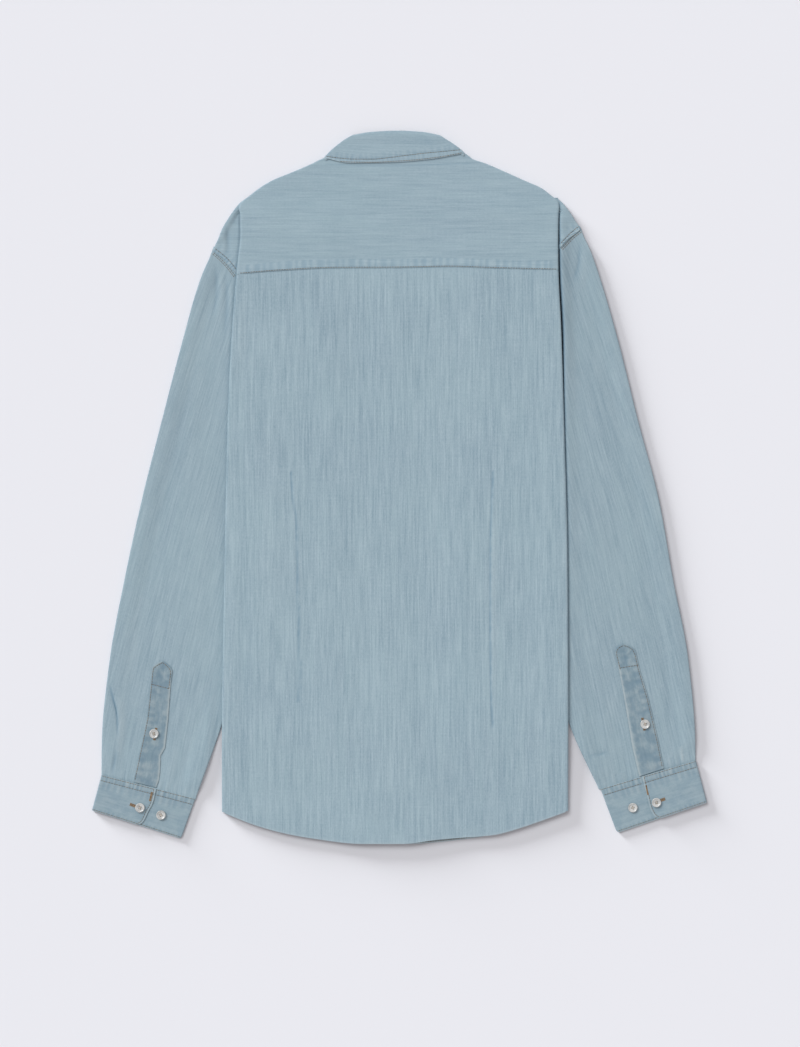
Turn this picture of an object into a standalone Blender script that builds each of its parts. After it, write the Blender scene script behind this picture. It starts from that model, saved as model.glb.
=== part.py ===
"""Denim shirt laid flat on its front, back up, with both sides of the body tucked under.

The shirt is built as it is cut and sewn: back, yoke, two fronts, collar leaf and stand, two sleeves
with a placket and a cuff each, and the buttons. Every cloth piece is one sheet that follows its
folds, given thickness by Solidify. X runs across the shirt, Y runs up it from hem to collar, and Z
is up from the table, which is at Z = 0. Lengths below are in millimetres.
"""

import math
from collections import namedtuple

import bmesh
import bpy
from mathutils import Vector

MM = 0.001

# Cloth
WALL = 1.0            # thickness of one layer of denim
CUFF_WALL = 1.2       # a cuff is two layers pressed together
GAP = 0.3             # clearance between neighbouring pieces
LAYER = WALL + GAP    # rise from one layer to the next

# Heights of the middle of each layer above the table
FLOOR_LAYER = WALL / 2
SLEEVE_TOP_LAYER = FLOOR_LAYER + LAYER
FRONT_FOLD_RADIUS = 0.8
BACK_FOLD_RADIUS = FRONT_FOLD_RADIUS + LAYER
SLEEVE_FOLD_RADIUS = LAYER / 2
SLEEVE_LIFT = 2 * LAYER
CENTRE_LAYER = 6.1    # back and yoke over the closed fronts
NECK_LAYER = 2.0      # fronts and stand where they lie on the collar leaf
LEAF_BACK_LAYER = 7.7

# Buttons
BUTTON_RADIUS = 5.4
BUTTON_HEIGHT = 2.4
BUTTON_SIDES = 12

# The closed fronts: the left one laps over the right one, on top of the buttons
LAP = 15.0
PLACKET_SLOPE_END = 40.0
CLOSED_LAYER = {-1: BUTTON_HEIGHT + GAP + WALL / 2, 1: BUTTON_HEIGHT + GAP + WALL / 2 + LAYER}
FRONT_BUTTON_TOP = 225.0
FRONT_BUTTON_PITCH = 88.0
FRONT_BUTTON_COUNT = 7
STAND_BUTTON_HEIGHT = 291.0

# Tucked sides: where the body folds under, and where the tucked cloth ends (the side seam up to the
# underarm, then the pleat that closes at the shoulder). Distances are outwards from the centre line.
SideRow = namedtuple("SideRow", "height fold_left fold_right end_left end_right")
SIDES = (
    SideRow(-410.4, 204.0, 194.0, 126, 120),
    SideRow(-274, 204.0, 194.0, 122, 116),
    SideRow(-85, 201.0, 193.0, 112, 107),
    SideRow(75, 197.5, 189.0, 100, 95),
    SideRow(180, 192.5, 186.0, 137, 133),
    SideRow(249, 186.6, 182.8, 161, 158),
    SideRow(312, 186.8, 182.6, 180, 176),
    SideRow(323, 187.0, 182.6, 152, 149),
    SideRow(339, 167.0, 167.0, 112, 110),
    SideRow(349, 147.0, 145.0, 97, 94),
    SideRow(366, 112.0, 103.0, 92, 85),
    SideRow(372, 93.0, 86.5, 88, 81.5),
)
SHOULDER_START = 312.0   # the tucks have closed and the fold becomes the shoulder
SHOULDER_LOW = 342.0
SLEEVE_LEAVES = -275.0   # below this the body comes down to the table
HEM_SIDE = -370.0
TUCK_HEM_RISE = 0.33     # rise of the hem along the tucked cloth, per millimetre

# Hem of the curved shirt tail
HemRow = namedtuple("HemRow", "across back front")
HEM = (
    HemRow(-204, -374.0, -372.0),
    HemRow(-166, -389.0, -387.0),
    HemRow(-134, -398.0, -396.0),
    HemRow(-102, -404.0, -402.0),
    HemRow(-43, -410.4, -408.4),
    HemRow(5, -410.4, -410.4),
    HemRow(30, -404.8, -409.6),
    HemRow(67, -402.3, -406.5),
    HemRow(92, -400.5, -402.3),
    HemRow(111, -400.5, -399.0),
    HemRow(149, -389.0, -387.0),
    HemRow(194, -373.0, -371.0),
)
BODY_ROWS = (-335, -305, -275, -230, -180, -125, -70, -15, 40, 75, 130, 180, 215)
FRONT_TOP_ROWS = (249, 268)
FRONT_TUCK_TOP = 303.0
LEAF_RAMP_START = 160.0  # the fronts rise from the table onto the collar leaf
LEAF_RAMP_LENGTH = 55.0

# Seams across the body
SeamRow = namedtuple("SeamRow", "across height")
YOKE_SEAM = (
    SeamRow(-187, 243.5), SeamRow(-140, 247.5), SeamRow(-75, 250.6), SeamRow(0, 251.0),
    SeamRow(56, 252.0), SeamRow(104, 250.5), SeamRow(183, 248.5),
)
FRONT_TOP = (   # neckline of a front, then its seam to the yoke, outwards from the centre line
    SeamRow(-15, 278.8), SeamRow(16, 280.0), SeamRow(40, 284.5), SeamRow(73, 315.0),
    SeamRow(97, 342.5), SeamRow(150, 322.0), SeamRow(181, 306.0),
)
NECK_TOP = 370.6
NECK_DIP = 5.0

# Yoke tips outside the side folds, with the armhole seam along their lower edge
TIP_ROWS = 6
TipRow = namedtuple("TipRow", "height left right")
TIPS = (
    TipRow(243.5, 187.0, 165.0),
    TipRow(261, 200.0, 175.0),
    TipRow(273, 213.0, 182.5),
    TipRow(285, 208.5, 193.0),
    TipRow(297, 203.0, 207.0),
    TipRow(312, 194.0, 196.0),
)
TIP_RETURN = 9.0

# Sleeves: outer edge, and inner edge from the underarm to the cuff
EdgeRow = namedtuple("EdgeRow", "height left right")
SLEEVE_OUTER = (
    EdgeRow(297, 200.0, 206.5),
    EdgeRow(272, 213.6, 218.8),
    EdgeRow(237, 229.0, 231.0),
    EdgeRow(168, 249.0, 251.0),
    EdgeRow(76, 273.0, 274.0),
    EdgeRow(-15, 296.0, 298.0),
    EdgeRow(-107, 316.0, 314.5),
    EdgeRow(-199, 333.0, 332.0),
    EdgeRow(-291, 342.0, 340.0),
    EdgeRow(-333, 342.6, 340.6),
)
SLEEVE_INNER = (
    EdgeRow(75, 100.0, 95.0),
    EdgeRow(-100, 152.0, 146.5),
    EdgeRow(-274, 204.0, 195.5),
    EdgeRow(-360, 234.6, 235.0),
)
SLEEVE_TOP = {-1: 272.4, 1: 295.8}
SLEEVE_END_OUTER = {-1: -332.8, 1: -316.2}
SLEEVE_END_INNER = {-1: -359.6, 1: -349.4}
UNDERARM = 75.0
# Armhole end of the sleeve: how far the seam bows up from the straight line, along its length
CapRow = namedtuple("CapRow", "share left right")
CAP_BOW = (
    CapRow(0.0, 0.0, 0.0),
    CapRow(0.12, 11.6, 15.5),
    CapRow(0.22, 16.0, 24.5),
    CapRow(0.45, 24.0, 28.0),
    CapRow(0.7, 18.0, 20.0),
    CapRow(1.0, 0.0, 0.0),
)
SLEEVE_ROWS = 11

# Cuffs: corners (outwards, up), and where the lap ends along the cuff's length
CuffPlan = namedtuple("CuffPlan", "outer_top inner_top outer_low inner_low lap_top lap_low")
CUFFS = {
    -1: CuffPlan((342.4, -333.3), (234.6, -360.2), (353.3, -372.0), (251.0, -404.6), 0.565, 0.505),
    1: CuffPlan((340.4, -316.8), (231.0, -350.0), (353.3, -363.0), (250.0, -398.0), 0.545, 0.505),
}
CUFF_UNDERLAP = 0.24
CUFF_LAYERS = (CUFF_WALL / 2, CUFF_WALL * 1.5 + GAP, CUFF_WALL * 2.5 + 2 * GAP)
CUFF_BUTTONS = {-1: ((298.0, -369.0), (274.0, -377.5)), 1: ((295.0, -363.0), (268.0, -369.0))}

# Sleeve plackets: edges of the strip sewn on each sleeve, and its pointed end
PlacketRow = namedtuple("PlacketRow", "height outer inner")
PLACKETS = {
    -1: (
        PlacketRow(-201, 272.5, 272.0),
        PlacketRow(-208, 284.0, 261.0),
        PlacketRow(-227, 286.0, 263.0),
        PlacketRow(-265, 290.0, 266.0),
        PlacketRow(-308, 299.0, 272.0),
        PlacketRow(-341, 306.0, 280.0),
    ),
    1: (
        PlacketRow(-183, 256.8, 256.2),
        PlacketRow(-191, 271.5, 247.2),
        PlacketRow(-209, 275.5, 252.0),
        PlacketRow(-244, 286.0, 259.0),
        PlacketRow(-291, 297.0, 267.5),
        PlacketRow(-326, 304.0, 276.0),
    ),
}
PLACKET_END_SLANT = {-1: 6.2, 1: 9.0}   # the inner corner lies this much lower, along the cuff
PLACKET_BUTTONS = {-1: (282.0, -284.0), 1: (282.0, -273.0)}

# Collar, station by station round the neck from the left front end to the right one
CollarRow = namedtuple("CollarRow", "roll_x roll_y edge_x edge_y layer")
LEAF_LEFT = (
    CollarRow(-6, 303, -48, 242, FLOOR_LAYER),
    CollarRow(-34, 318, -76, 268, FLOOR_LAYER),
    CollarRow(-57, 343, -98, 303, FLOOR_LAYER),
    CollarRow(-68, 374, -103, 345, FLOOR_LAYER),
    CollarRow(-61, 400, -89.5, 376, FLOOR_LAYER),
)
LEAF_BACK = (
    CollarRow(-61, 400, -89.5, 376, LEAF_BACK_LAYER),
    CollarRow(-32, 408, -45, 371, LEAF_BACK_LAYER),
    CollarRow(0, 410.4, 0, 371.3, LEAF_BACK_LAYER),
    CollarRow(32, 408, 43, 375.3, LEAF_BACK_LAYER),
    CollarRow(52, 400.5, 79, 380, LEAF_BACK_LAYER),
)
LEAF_RIGHT = (
    CollarRow(52, 400.5, 79, 380, FLOOR_LAYER),
    CollarRow(60, 374, 97, 347, FLOOR_LAYER),
    CollarRow(54, 343, 95, 303, FLOOR_LAYER),
    CollarRow(34, 318, 76, 268, FLOOR_LAYER),
    CollarRow(6, 303, 48, 242, FLOOR_LAYER),
)
STAND_LEFT = (
    CollarRow(12, 300, 12, 279.5, CLOSED_LAYER[-1]),
    CollarRow(-10, 303.5, -16, 281.2, CLOSED_LAYER[-1]),
    CollarRow(-33, 319, -54, 300.5, NECK_LAYER),
    CollarRow(-55, 345, -80, 336, NECK_LAYER),
    CollarRow(-65.5, 374, -85, 358, NECK_LAYER),
    CollarRow(-59.5, 398, -85, 374.5, NECK_LAYER),
)
STAND_BACK = (
    CollarRow(-59.5, 398, -85, 374.5, CENTRE_LAYER),
    CollarRow(-32, 406, -45, 369.6, CENTRE_LAYER),
    CollarRow(0, 407.5, 0, 367.2, CENTRE_LAYER),
    CollarRow(32, 406, 42, 369.6, CENTRE_LAYER),
    CollarRow(50.5, 398.5, 77.5, 375.5, CENTRE_LAYER),
)
STAND_RIGHT = (
    CollarRow(50.5, 398.5, 77.5, 375.5, NECK_LAYER),
    CollarRow(58, 374, 79.5, 358, NECK_LAYER),
    CollarRow(52, 345, 77, 336, NECK_LAYER),
    CollarRow(33, 319, 54, 300.5, NECK_LAYER),
    CollarRow(10, 303.5, 16, 281.2, CLOSED_LAYER[1]),
    CollarRow(-12, 300, -12, 279.5, CLOSED_LAYER[1]),
)

DENIM = (0.333, 0.428, 0.479, 1.0)
PEARL = (0.82, 0.80, 0.76, 1.0)


# Reading the tables

def smooth(share):
    """Ease from 0 to 1 with level ends."""
    share = min(max(share, 0.0), 1.0)
    return share * share * (3 - 2 * share)


def mix(low, high, share):
    return low + (high - low) * share


def read(table, column, at, key="height"):
    """Value of one column of a table at a place along its key, straight between its rows."""
    rows = sorted(table, key=lambda row: getattr(row, key))
    places = [getattr(row, key) for row in rows]
    values = [getattr(row, column) for row in rows]
    at = min(max(at, places[0]), places[-1])
    index = max(i for i in range(len(rows) - 1) if places[i] <= at)
    share = (at - places[index]) / (places[index + 1] - places[index])
    return mix(values[index], values[index + 1], share)


def side_name(side):
    return "left" if side < 0 else "right"


def fold_out(side, height):
    return read(SIDES, "fold_" + side_name(side), height)


def tuck_end(side, height):
    return read(SIDES, "end_" + side_name(side), height)


def hem(panel, across):
    return read(HEM, panel, across, key="across")


def side_layer(height):
    """Middle of the front panel where it lies on the tucked cloth."""
    lift = SLEEVE_LIFT * (1 - smooth((SLEEVE_LEAVES - height) / (SLEEVE_LEAVES - HEM_SIDE)))
    shoulder = smooth((height - SHOULDER_START) / (SHOULDER_LOW - SHOULDER_START))
    tucked = FLOOR_LAYER + 2 * FRONT_FOLD_RADIUS + LAYER + lift
    return mix(tucked, CENTRE_LAYER - LAYER, shoulder)


def cover_layer(across, height):
    """Middle of the back and yoke."""
    side = -1 if across < 0 else 1
    inner = min(tuck_end(side, height), tuck_end(side, 0)) - 15
    share = smooth((abs(across) - 30) / (inner - 30))
    return mix(CENTRE_LAYER, side_layer(height) + LAYER, share)


# Making solids

def make_material(name, colour, roughness):
    material = bpy.data.materials.new(name)
    material.use_nodes = True
    shader = material.node_tree.nodes["Principled BSDF"]
    shader.inputs["Base Color"].default_value = colour
    shader.inputs["Roughness"].default_value = roughness
    shader.inputs["Metallic"].default_value = 0.0
    material.diffuse_color = colour
    return material


def add_part(name, data, colour, roughness):
    part = bpy.data.objects.new(name, data)
    data.materials.append(make_material(name, colour, roughness))
    bpy.data.collections["denim_shirt"].objects.link(part)
    return part


def make_sheet(name, patches, wall=WALL):
    """Cloth wall through patches, each a list of equal rows of points, joined where they meet."""
    build = bmesh.new()
    for rows in patches:
        first = len(build.verts)
        bmesh.ops.create_grid(build, x_segments=len(rows[0]) - 1, y_segments=len(rows) - 1, size=1.0)
        build.verts.ensure_lookup_table()
        points = [point for row in rows for point in row]
        for index, point in enumerate(points):
            build.verts[first + index].co = Vector(point) * MM
    bmesh.ops.remove_doubles(build, verts=build.verts, dist=0.00001)
    bmesh.ops.recalc_face_normals(build, faces=build.faces)
    mesh = bpy.data.meshes.new(name)
    build.to_mesh(mesh)
    build.free()
    mesh.shade_smooth()
    part = add_part(name, mesh, DENIM, 0.9)
    shell = part.modifiers.new("Cloth", "SOLIDIFY")
    shell.thickness = wall * MM
    shell.offset = 0.0
    return part


def make_button(name, place, under):
    """Turned button with a dished face, whose lower face is at the height under."""
    rim = BUTTON_HEIGHT
    profile = (
        (0.0, rim - 0.5), (3.4, rim - 0.5), (4.4, rim), (BUTTON_RADIUS, rim - 0.7),
        (BUTTON_RADIUS, 0.6), (4.6, 0.0), (0.0, 0.0),
    )
    mesh = bpy.data.meshes.new(name)
    points = [(x * MM, 0.0, z * MM) for x, z in profile]
    mesh.from_pydata(points, [(i, i + 1) for i in range(len(points) - 1)], [])
    part = add_part(name, mesh, PEARL, 0.3)
    part.location = Vector((place[0], place[1], under)) * MM
    turn = part.modifiers.new("Turn", "SCREW")
    turn.steps = BUTTON_SIDES
    turn.render_steps = BUTTON_SIDES
    turn.use_merge_vertices = True
    turn.merge_threshold = 0.00001
    return part


def fold_arc(radius, start, stop, steps):
    """Offsets (out, up) round a fold, between two angles in degrees."""
    angles = [math.radians(mix(start, stop, i / steps)) for i in range(steps + 1)]
    return [(radius * math.cos(a), radius * math.sin(a)) for a in angles]


# Body

CrossPoint = namedtuple("CrossPoint", "across up tuck")


def tucked_edge(side, height, radius):
    """From the top of a side fold, round it and along the tucked cloth, as outward distances."""
    centre_out = fold_out(side, height) - BACK_FOLD_RADIUS - WALL / 2
    centre_up = side_layer(height) - FRONT_FOLD_RADIUS
    points = []
    for out, up in fold_arc(radius, 90, -90, 4):
        points.append(CrossPoint(side * (centre_out + out), centre_up + up, 0.01))
    end = tuck_end(side, height)
    for step in (1, 2):
        out = mix(centre_out, end, step / 2)
        points.append(CrossPoint(side * out, centre_up - radius, centre_out - out))
    return points


def cover_section(height, columns=12):
    """Back or yoke across the shirt: left tuck, top, right tuck."""
    left = tucked_edge(-1, height, BACK_FOLD_RADIUS)[::-1]
    right = tucked_edge(1, height, BACK_FOLD_RADIUS)
    top = []
    for column in range(1, columns):
        across = mix(left[-1].across, right[0].across, column / columns)
        top.append(CrossPoint(across, cover_layer(across, height), 0.0))
    return left + top + right


def front_section(side, height):
    """One front across the shirt: lapped edge, slope, middle, slope, side fold, tuck."""
    rise = smooth((height - LEAF_RAMP_START) / LEAF_RAMP_LENGTH)
    middle = mix(FLOOR_LAYER, NECK_LAYER, rise)
    closed = CLOSED_LAYER[side]
    tucked = side_layer(min(height, SHOULDER_START))
    end = tuck_end(side, min(height, SHOULDER_START))
    slope_end = end - 40
    spots = [(-LAP, closed), (LAP, closed)]
    for step in (1, 2, 3):
        spots.append((mix(LAP, PLACKET_SLOPE_END, step / 3), mix(closed, middle, smooth(step / 3))))
    for step in (1, 2, 3):
        spots.append((mix(PLACKET_SLOPE_END, slope_end, step / 3), middle))
    for step in (1, 2, 3, 4):
        spots.append((mix(slope_end, end - 4, step / 4), mix(middle, tucked, smooth(step / 4))))
    edge = tucked_edge(side, min(height, SHOULDER_START), FRONT_FOLD_RADIUS)
    spots.append((mix(end - 4, abs(edge[0].across), 0.5), tucked))
    return [CrossPoint(side * out, up, 0.0) for out, up in spots] + edge


def lay_panel(section, low_edge, high_edge, heights, high_at):
    """Rows of points from the low edge to the high edge of a panel.

    The columns meet the high edge where the section at the height high_at has them.
    """
    lows = [low_edge(point) for point in section(heights[0])]
    highs = [high_edge(point) for point in section(high_at)]
    count = len(lows)
    rows = []
    for height in [None] + list(heights) + [None]:
        row = []
        for column in range(count):
            y = height
            if height is None:
                y = highs[column] if rows else lows[column]
            point = section(y)[column]
            row.append((point.across, y, point.up))
        rows.append(row)
    return rows


def hem_edge(panel):
    def edge(point):
        rise = TUCK_HEM_RISE * point.tuck
        side = -1 if point.across < 0 else 1
        if point.tuck > 0:
            return hem(panel, side * fold_out(side, HEM_SIDE)) + rise
        return hem(panel, point.across)
    return edge


def make_back():
    def top(point):
        side = -1 if point.across < 0 else 1
        across = side * fold_out(side, 249) if point.tuck > 0 else point.across
        return read(YOKE_SEAM, "height", across, key="across") - GAP
    make_sheet("back", [lay_panel(cover_section, hem_edge("back"), top, BODY_ROWS, 249)])


def make_front(side):
    def top(point):
        if point.tuck > 0:
            return FRONT_TUCK_TOP
        return read(FRONT_TOP, "height", side * point.across, key="across")
    rows = lay_panel(lambda y: front_section(side, y), hem_edge("front"), top,
                     BODY_ROWS + FRONT_TOP_ROWS, SHOULDER_START)
    make_sheet("front_" + side_name(side), [rows])


def tip_patch(side, edge_rows):
    """The yoke past its pleat: round the inner fold, out over the sleeve end and round its edge."""
    rows = []
    for edge in edge_rows:
        x, y, z = edge
        out = abs(x)
        outer = read(TIPS, side_name(side), y) - SLEEVE_FOLD_RADIUS - WALL / 2
        row = []
        for step_out, up in fold_arc(SLEEVE_FOLD_RADIUS, 90, 270, 4):
            row.append((side * (out + step_out), y, z - SLEEVE_FOLD_RADIUS + up))
        for step in (1, 2):
            row.append((side * mix(out, outer, step / 3), y, SLEEVE_TOP_LAYER))
        for step_out, up in fold_arc(SLEEVE_FOLD_RADIUS, 90, -90, 4):
            row.append((side * (outer + step_out), y, SLEEVE_TOP_LAYER - SLEEVE_FOLD_RADIUS + up))
        inner = max(outer - TIP_RETURN, out)
        row.append((side * inner, y, FLOOR_LAYER))
        rows.append(row)
    return rows


def make_yoke():
    heights = [row.height for row in TIPS] + [322, 332, 342, 352, 362]
    last = cover_section(NECK_TOP)

    def low(point):
        side = -1 if point.across < 0 else 1
        across = side * fold_out(side, 249) if point.tuck > 0 else point.across
        return read(YOKE_SEAM, "height", across, key="across")

    def high(point):
        half = abs(last[0].across - last[-1].across) / 2
        share = min(abs(point.across) / half, 1.0) if point.tuck == 0 else 1.0
        return NECK_TOP - NECK_DIP * (1 - share * share)

    rows = lay_panel(cover_section, low, high, heights[1:], NECK_TOP)
    left = tip_patch(-1, [row[0] for row in rows[:TIP_ROWS]])
    right = tip_patch(1, [row[-1] for row in rows[:TIP_ROWS]])
    make_sheet("yoke", [rows, left, right])


# Sleeves, cuffs and plackets

def flat_tube_row(points, low, high, steps=3):
    """Ring of points round a flattened tube whose edges are the first and last of the points."""
    radius = (high - low) / 2
    inset = radius + WALL / 2
    first, last = Vector(points[0]), Vector(points[-1])
    start = (Vector(points[1]) - first).normalized()
    stop = (Vector(points[-2]) - last).normalized()
    inner = [first + start * inset] + [Vector(p) for p in points[1:-1]] + [last + stop * inset]
    ring = [(p.x, p.y, high) for p in inner]
    for out, up in fold_arc(radius, 90, -90, steps)[1:-1]:
        p = inner[-1] - stop * out
        ring.append((p.x, p.y, (low + high) / 2 + up))
    ring += [(p.x, p.y, low) for p in inner[::-1]]
    for out, up in fold_arc(radius, -90, 90, steps)[1:-1]:
        p = inner[0] - start * out
        ring.append((p.x, p.y, (low + high) / 2 + up))
    return ring + [ring[0]]


def make_sleeve(side):
    name = side_name(side)
    rows = []
    for step in range(SLEEVE_ROWS + 1):
        share = step / SLEEVE_ROWS
        outer_y = mix(SLEEVE_TOP[side], SLEEVE_END_OUTER[side], share)
        inner_y = mix(UNDERARM, SLEEVE_END_INNER[side], share)
        outer = (read(SLEEVE_OUTER, name, outer_y), outer_y)
        inner = (read(SLEEVE_INNER, name, inner_y), inner_y)
        points = []
        for cut in (0, 0.12, 0.22, 0.45, 0.7, 0.85, 1):
            bow = read(CAP_BOW, name, cut, key="share") * (1 - share) ** 4
            points.append((side * mix(outer[0], inner[0], cut), mix(outer[1], inner[1], cut) + bow))
        rows.append(flat_tube_row(points, FLOOR_LAYER, SLEEVE_TOP_LAYER))
    make_sheet("sleeve_" + name, [rows])


def make_cuff(side):
    plan = CUFFS[side]
    low, under, over = CUFF_LAYERS
    rows = []
    for share in (0, 1 / 3, 2 / 3, 1):
        outer = Vector(plan.outer_top).lerp(Vector(plan.outer_low), share)
        inner = Vector(plan.inner_top).lerp(Vector(plan.inner_low), share)
        along = (inner - outer).normalized()
        length = (inner - outer).length
        lap = mix(plan.lap_top, plan.lap_low, share) * length
        underlap = lap - CUFF_UNDERLAP * length
        wide = (over - low) / 2
        narrow = (under - low) / 2
        start = wide + CUFF_WALL / 2
        stop = length - narrow - CUFF_WALL / 2
        spots = [(mix(lap, start, i / 3), over) for i in range(3)]
        spots += [(start - out, (low + over) / 2 + up) for out, up in fold_arc(wide, 90, -90, 4)]
        spots += [(mix(start, stop, i / 5), low) for i in range(1, 5)]
        spots += [(stop + out, (low + under) / 2 + up) for out, up in fold_arc(narrow, -90, 90, 4)]
        spots += [(mix(stop, underlap, i / 4), under) for i in range(1, 5)]
        row = []
        for distance, up in spots:
            place = outer + along * distance
            row.append((side * place.x, place.y, up))
        rows.append(row)
    make_sheet("cuff_" + side_name(side), [rows], CUFF_WALL)


def make_placket(side):
    """Pointed strip lying on the sleeve, a filled flat outline."""
    table = PLACKETS[side]
    outline = [(row.outer, row.height) for row in table[1:]]
    outline += [(table[-1].inner, table[-1].height - PLACKET_END_SLANT[side])]
    outline += [(row.inner, row.height) for row in table[-2:0:-1]]
    outline += [((table[0].outer + table[0].inner) / 2, table[0].height)]
    name = "sleeve_placket_" + side_name(side)
    curve = bpy.data.curves.new(name, "CURVE")
    curve.dimensions = "2D"
    curve.fill_mode = "BOTH"
    curve.extrude = WALL / 2 * MM
    spline = curve.splines.new("POLY")
    spline.points.add(len(outline) - 1)
    spline.use_cyclic_u = True
    for point, (out, y) in zip(spline.points, outline):
        point.co = (side * out * MM, y * MM, 0.0, 1.0)
    part = add_part(name, curve, DENIM, 0.9)
    part.location.z = (SLEEVE_TOP_LAYER + LAYER) * MM


# Collar

def station_rows(table, per_row):
    """Stations between the rows of a collar table."""
    stations = []
    for first, second in zip(table, table[1:]):
        for step in range(per_row):
            share = step / per_row
            stations.append(CollarRow(*[mix(a, b, share) for a, b in zip(first, second)]))
    return stations + [table[-1]]


def side_turn(low, high, side, steps=6):
    """Stations round a side fold of the collar, from its lower layer to its upper one."""
    along = Vector((low.edge_x - low.roll_x, low.edge_y - low.roll_y)).normalized()
    out = Vector((along.y, -along.x)) * -side
    if out.x * side < 0:
        out = -out
    radius = (high.layer - low.layer) / 2
    middle = (high.layer + low.layer) / 2
    stations = []
    for step_out, up in fold_arc(radius, -90, 90, steps):
        shift = out * (step_out - radius - WALL / 2)
        stations.append(CollarRow(low.roll_x + shift.x, low.roll_y + shift.y,
                                  low.edge_x + shift.x, low.edge_y + shift.y, middle + up))
    return stations


def make_collar_piece(name, left, back, right, cuts):
    stations = station_rows(left, 2)[:-1]
    stations += side_turn(left[-1], back[0], -1)
    stations += station_rows(back, 3)[1:-1]
    stations += side_turn(right[0], back[-1], 1)[::-1]
    stations += station_rows(right, 2)[1:]
    rows = []
    for cut in range(cuts + 1):
        share = cut / cuts
        rows.append([(mix(s.roll_x, s.edge_x, share), mix(s.roll_y, s.edge_y, share), s.layer)
                     for s in stations])
    make_sheet(name, [rows])


# Buttons

def make_buttons():
    for index in range(FRONT_BUTTON_COUNT):
        y = FRONT_BUTTON_TOP - FRONT_BUTTON_PITCH * index
        make_button("front_button_%d" % (index + 1), (0.0, y), 0.0)
    make_button("stand_button", (0.0, STAND_BUTTON_HEIGHT), 0.0)
    for side in (-1, 1):
        name = side_name(side)
        fastened, spare = CUFF_BUTTONS[side]
        over = CUFF_LAYERS[2] + CUFF_WALL / 2 + GAP
        under = CUFF_LAYERS[1] + CUFF_WALL / 2 + GAP
        make_button("cuff_button_%s_1" % name, (side * fastened[0], fastened[1]), over)
        make_button("cuff_button_%s_2" % name, (side * spare[0], spare[1]), under)
        out, y = PLACKET_BUTTONS[side]
        on_placket = SLEEVE_TOP_LAYER + LAYER + WALL / 2 + GAP
        make_button("placket_button_%s" % name, (side * out, y), on_placket)


def main():
    for item in list(bpy.data.objects):
        bpy.data.objects.remove(item, do_unlink=True)
    collection = bpy.data.collections.new("denim_shirt")
    bpy.context.scene.collection.children.link(collection)
    make_back()
    make_yoke()
    make_collar_piece("collar_leaf", LEAF_LEFT, LEAF_BACK, LEAF_RIGHT, 3)
    make_collar_piece("collar_stand", STAND_LEFT, STAND_BACK, STAND_RIGHT, 2)
    for side in (-1, 1):
        make_front(side)
        make_sleeve(side)
        make_cuff(side)
        make_placket(side)
    make_buttons()


main()
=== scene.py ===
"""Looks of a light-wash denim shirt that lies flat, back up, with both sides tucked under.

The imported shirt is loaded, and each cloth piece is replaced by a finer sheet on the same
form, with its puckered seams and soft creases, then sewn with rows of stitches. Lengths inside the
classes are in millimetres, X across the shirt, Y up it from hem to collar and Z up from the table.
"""

from __future__ import annotations

import logging
import math
from dataclasses import dataclass, field
from enum import Enum
from typing import Optional, Sequence, Union

import bpy
import numpy as np
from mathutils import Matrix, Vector
from mathutils.bvhtree import BVHTree

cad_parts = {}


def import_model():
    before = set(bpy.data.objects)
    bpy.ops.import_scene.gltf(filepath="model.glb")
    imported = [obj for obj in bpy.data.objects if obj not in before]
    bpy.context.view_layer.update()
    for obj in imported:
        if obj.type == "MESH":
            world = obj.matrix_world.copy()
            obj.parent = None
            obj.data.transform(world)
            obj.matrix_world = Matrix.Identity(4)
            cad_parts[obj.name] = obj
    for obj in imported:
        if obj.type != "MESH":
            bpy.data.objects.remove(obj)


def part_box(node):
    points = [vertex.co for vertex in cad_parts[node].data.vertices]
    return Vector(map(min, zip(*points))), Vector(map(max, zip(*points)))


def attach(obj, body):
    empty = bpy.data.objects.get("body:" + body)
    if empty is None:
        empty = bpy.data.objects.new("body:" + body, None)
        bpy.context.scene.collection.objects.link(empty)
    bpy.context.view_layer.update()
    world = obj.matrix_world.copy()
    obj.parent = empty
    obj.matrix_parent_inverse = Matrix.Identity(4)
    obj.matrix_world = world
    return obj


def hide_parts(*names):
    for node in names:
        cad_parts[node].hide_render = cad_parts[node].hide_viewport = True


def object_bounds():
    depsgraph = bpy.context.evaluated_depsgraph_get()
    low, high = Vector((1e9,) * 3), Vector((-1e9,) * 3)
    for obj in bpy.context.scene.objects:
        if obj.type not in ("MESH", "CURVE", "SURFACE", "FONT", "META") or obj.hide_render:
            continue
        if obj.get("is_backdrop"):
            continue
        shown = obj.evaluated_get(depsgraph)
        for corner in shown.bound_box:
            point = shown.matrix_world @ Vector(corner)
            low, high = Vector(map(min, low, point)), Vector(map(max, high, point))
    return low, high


LOG = logging.getLogger("denim_shirt")
MM = 0.001
BODY = "root"
TINY = 1e-9
FAR = 1e9

Array = np.ndarray
Number = Union[float, Array]
Points = Sequence[tuple[float, float]]
Table = Sequence[Sequence[float]]
Colour = tuple[float, float, float, float]
Item = bpy.types.Object
Material = bpy.types.Material
Socket = bpy.types.NodeSocket


# Small tools

class Side(Enum):
    """The wearer's side; the value is the sign of X."""

    LEFT = -1
    RIGHT = 1

    @property
    def label(self) -> str:
        """Lower-case name used in node names."""
        return self.name.lower()


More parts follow.
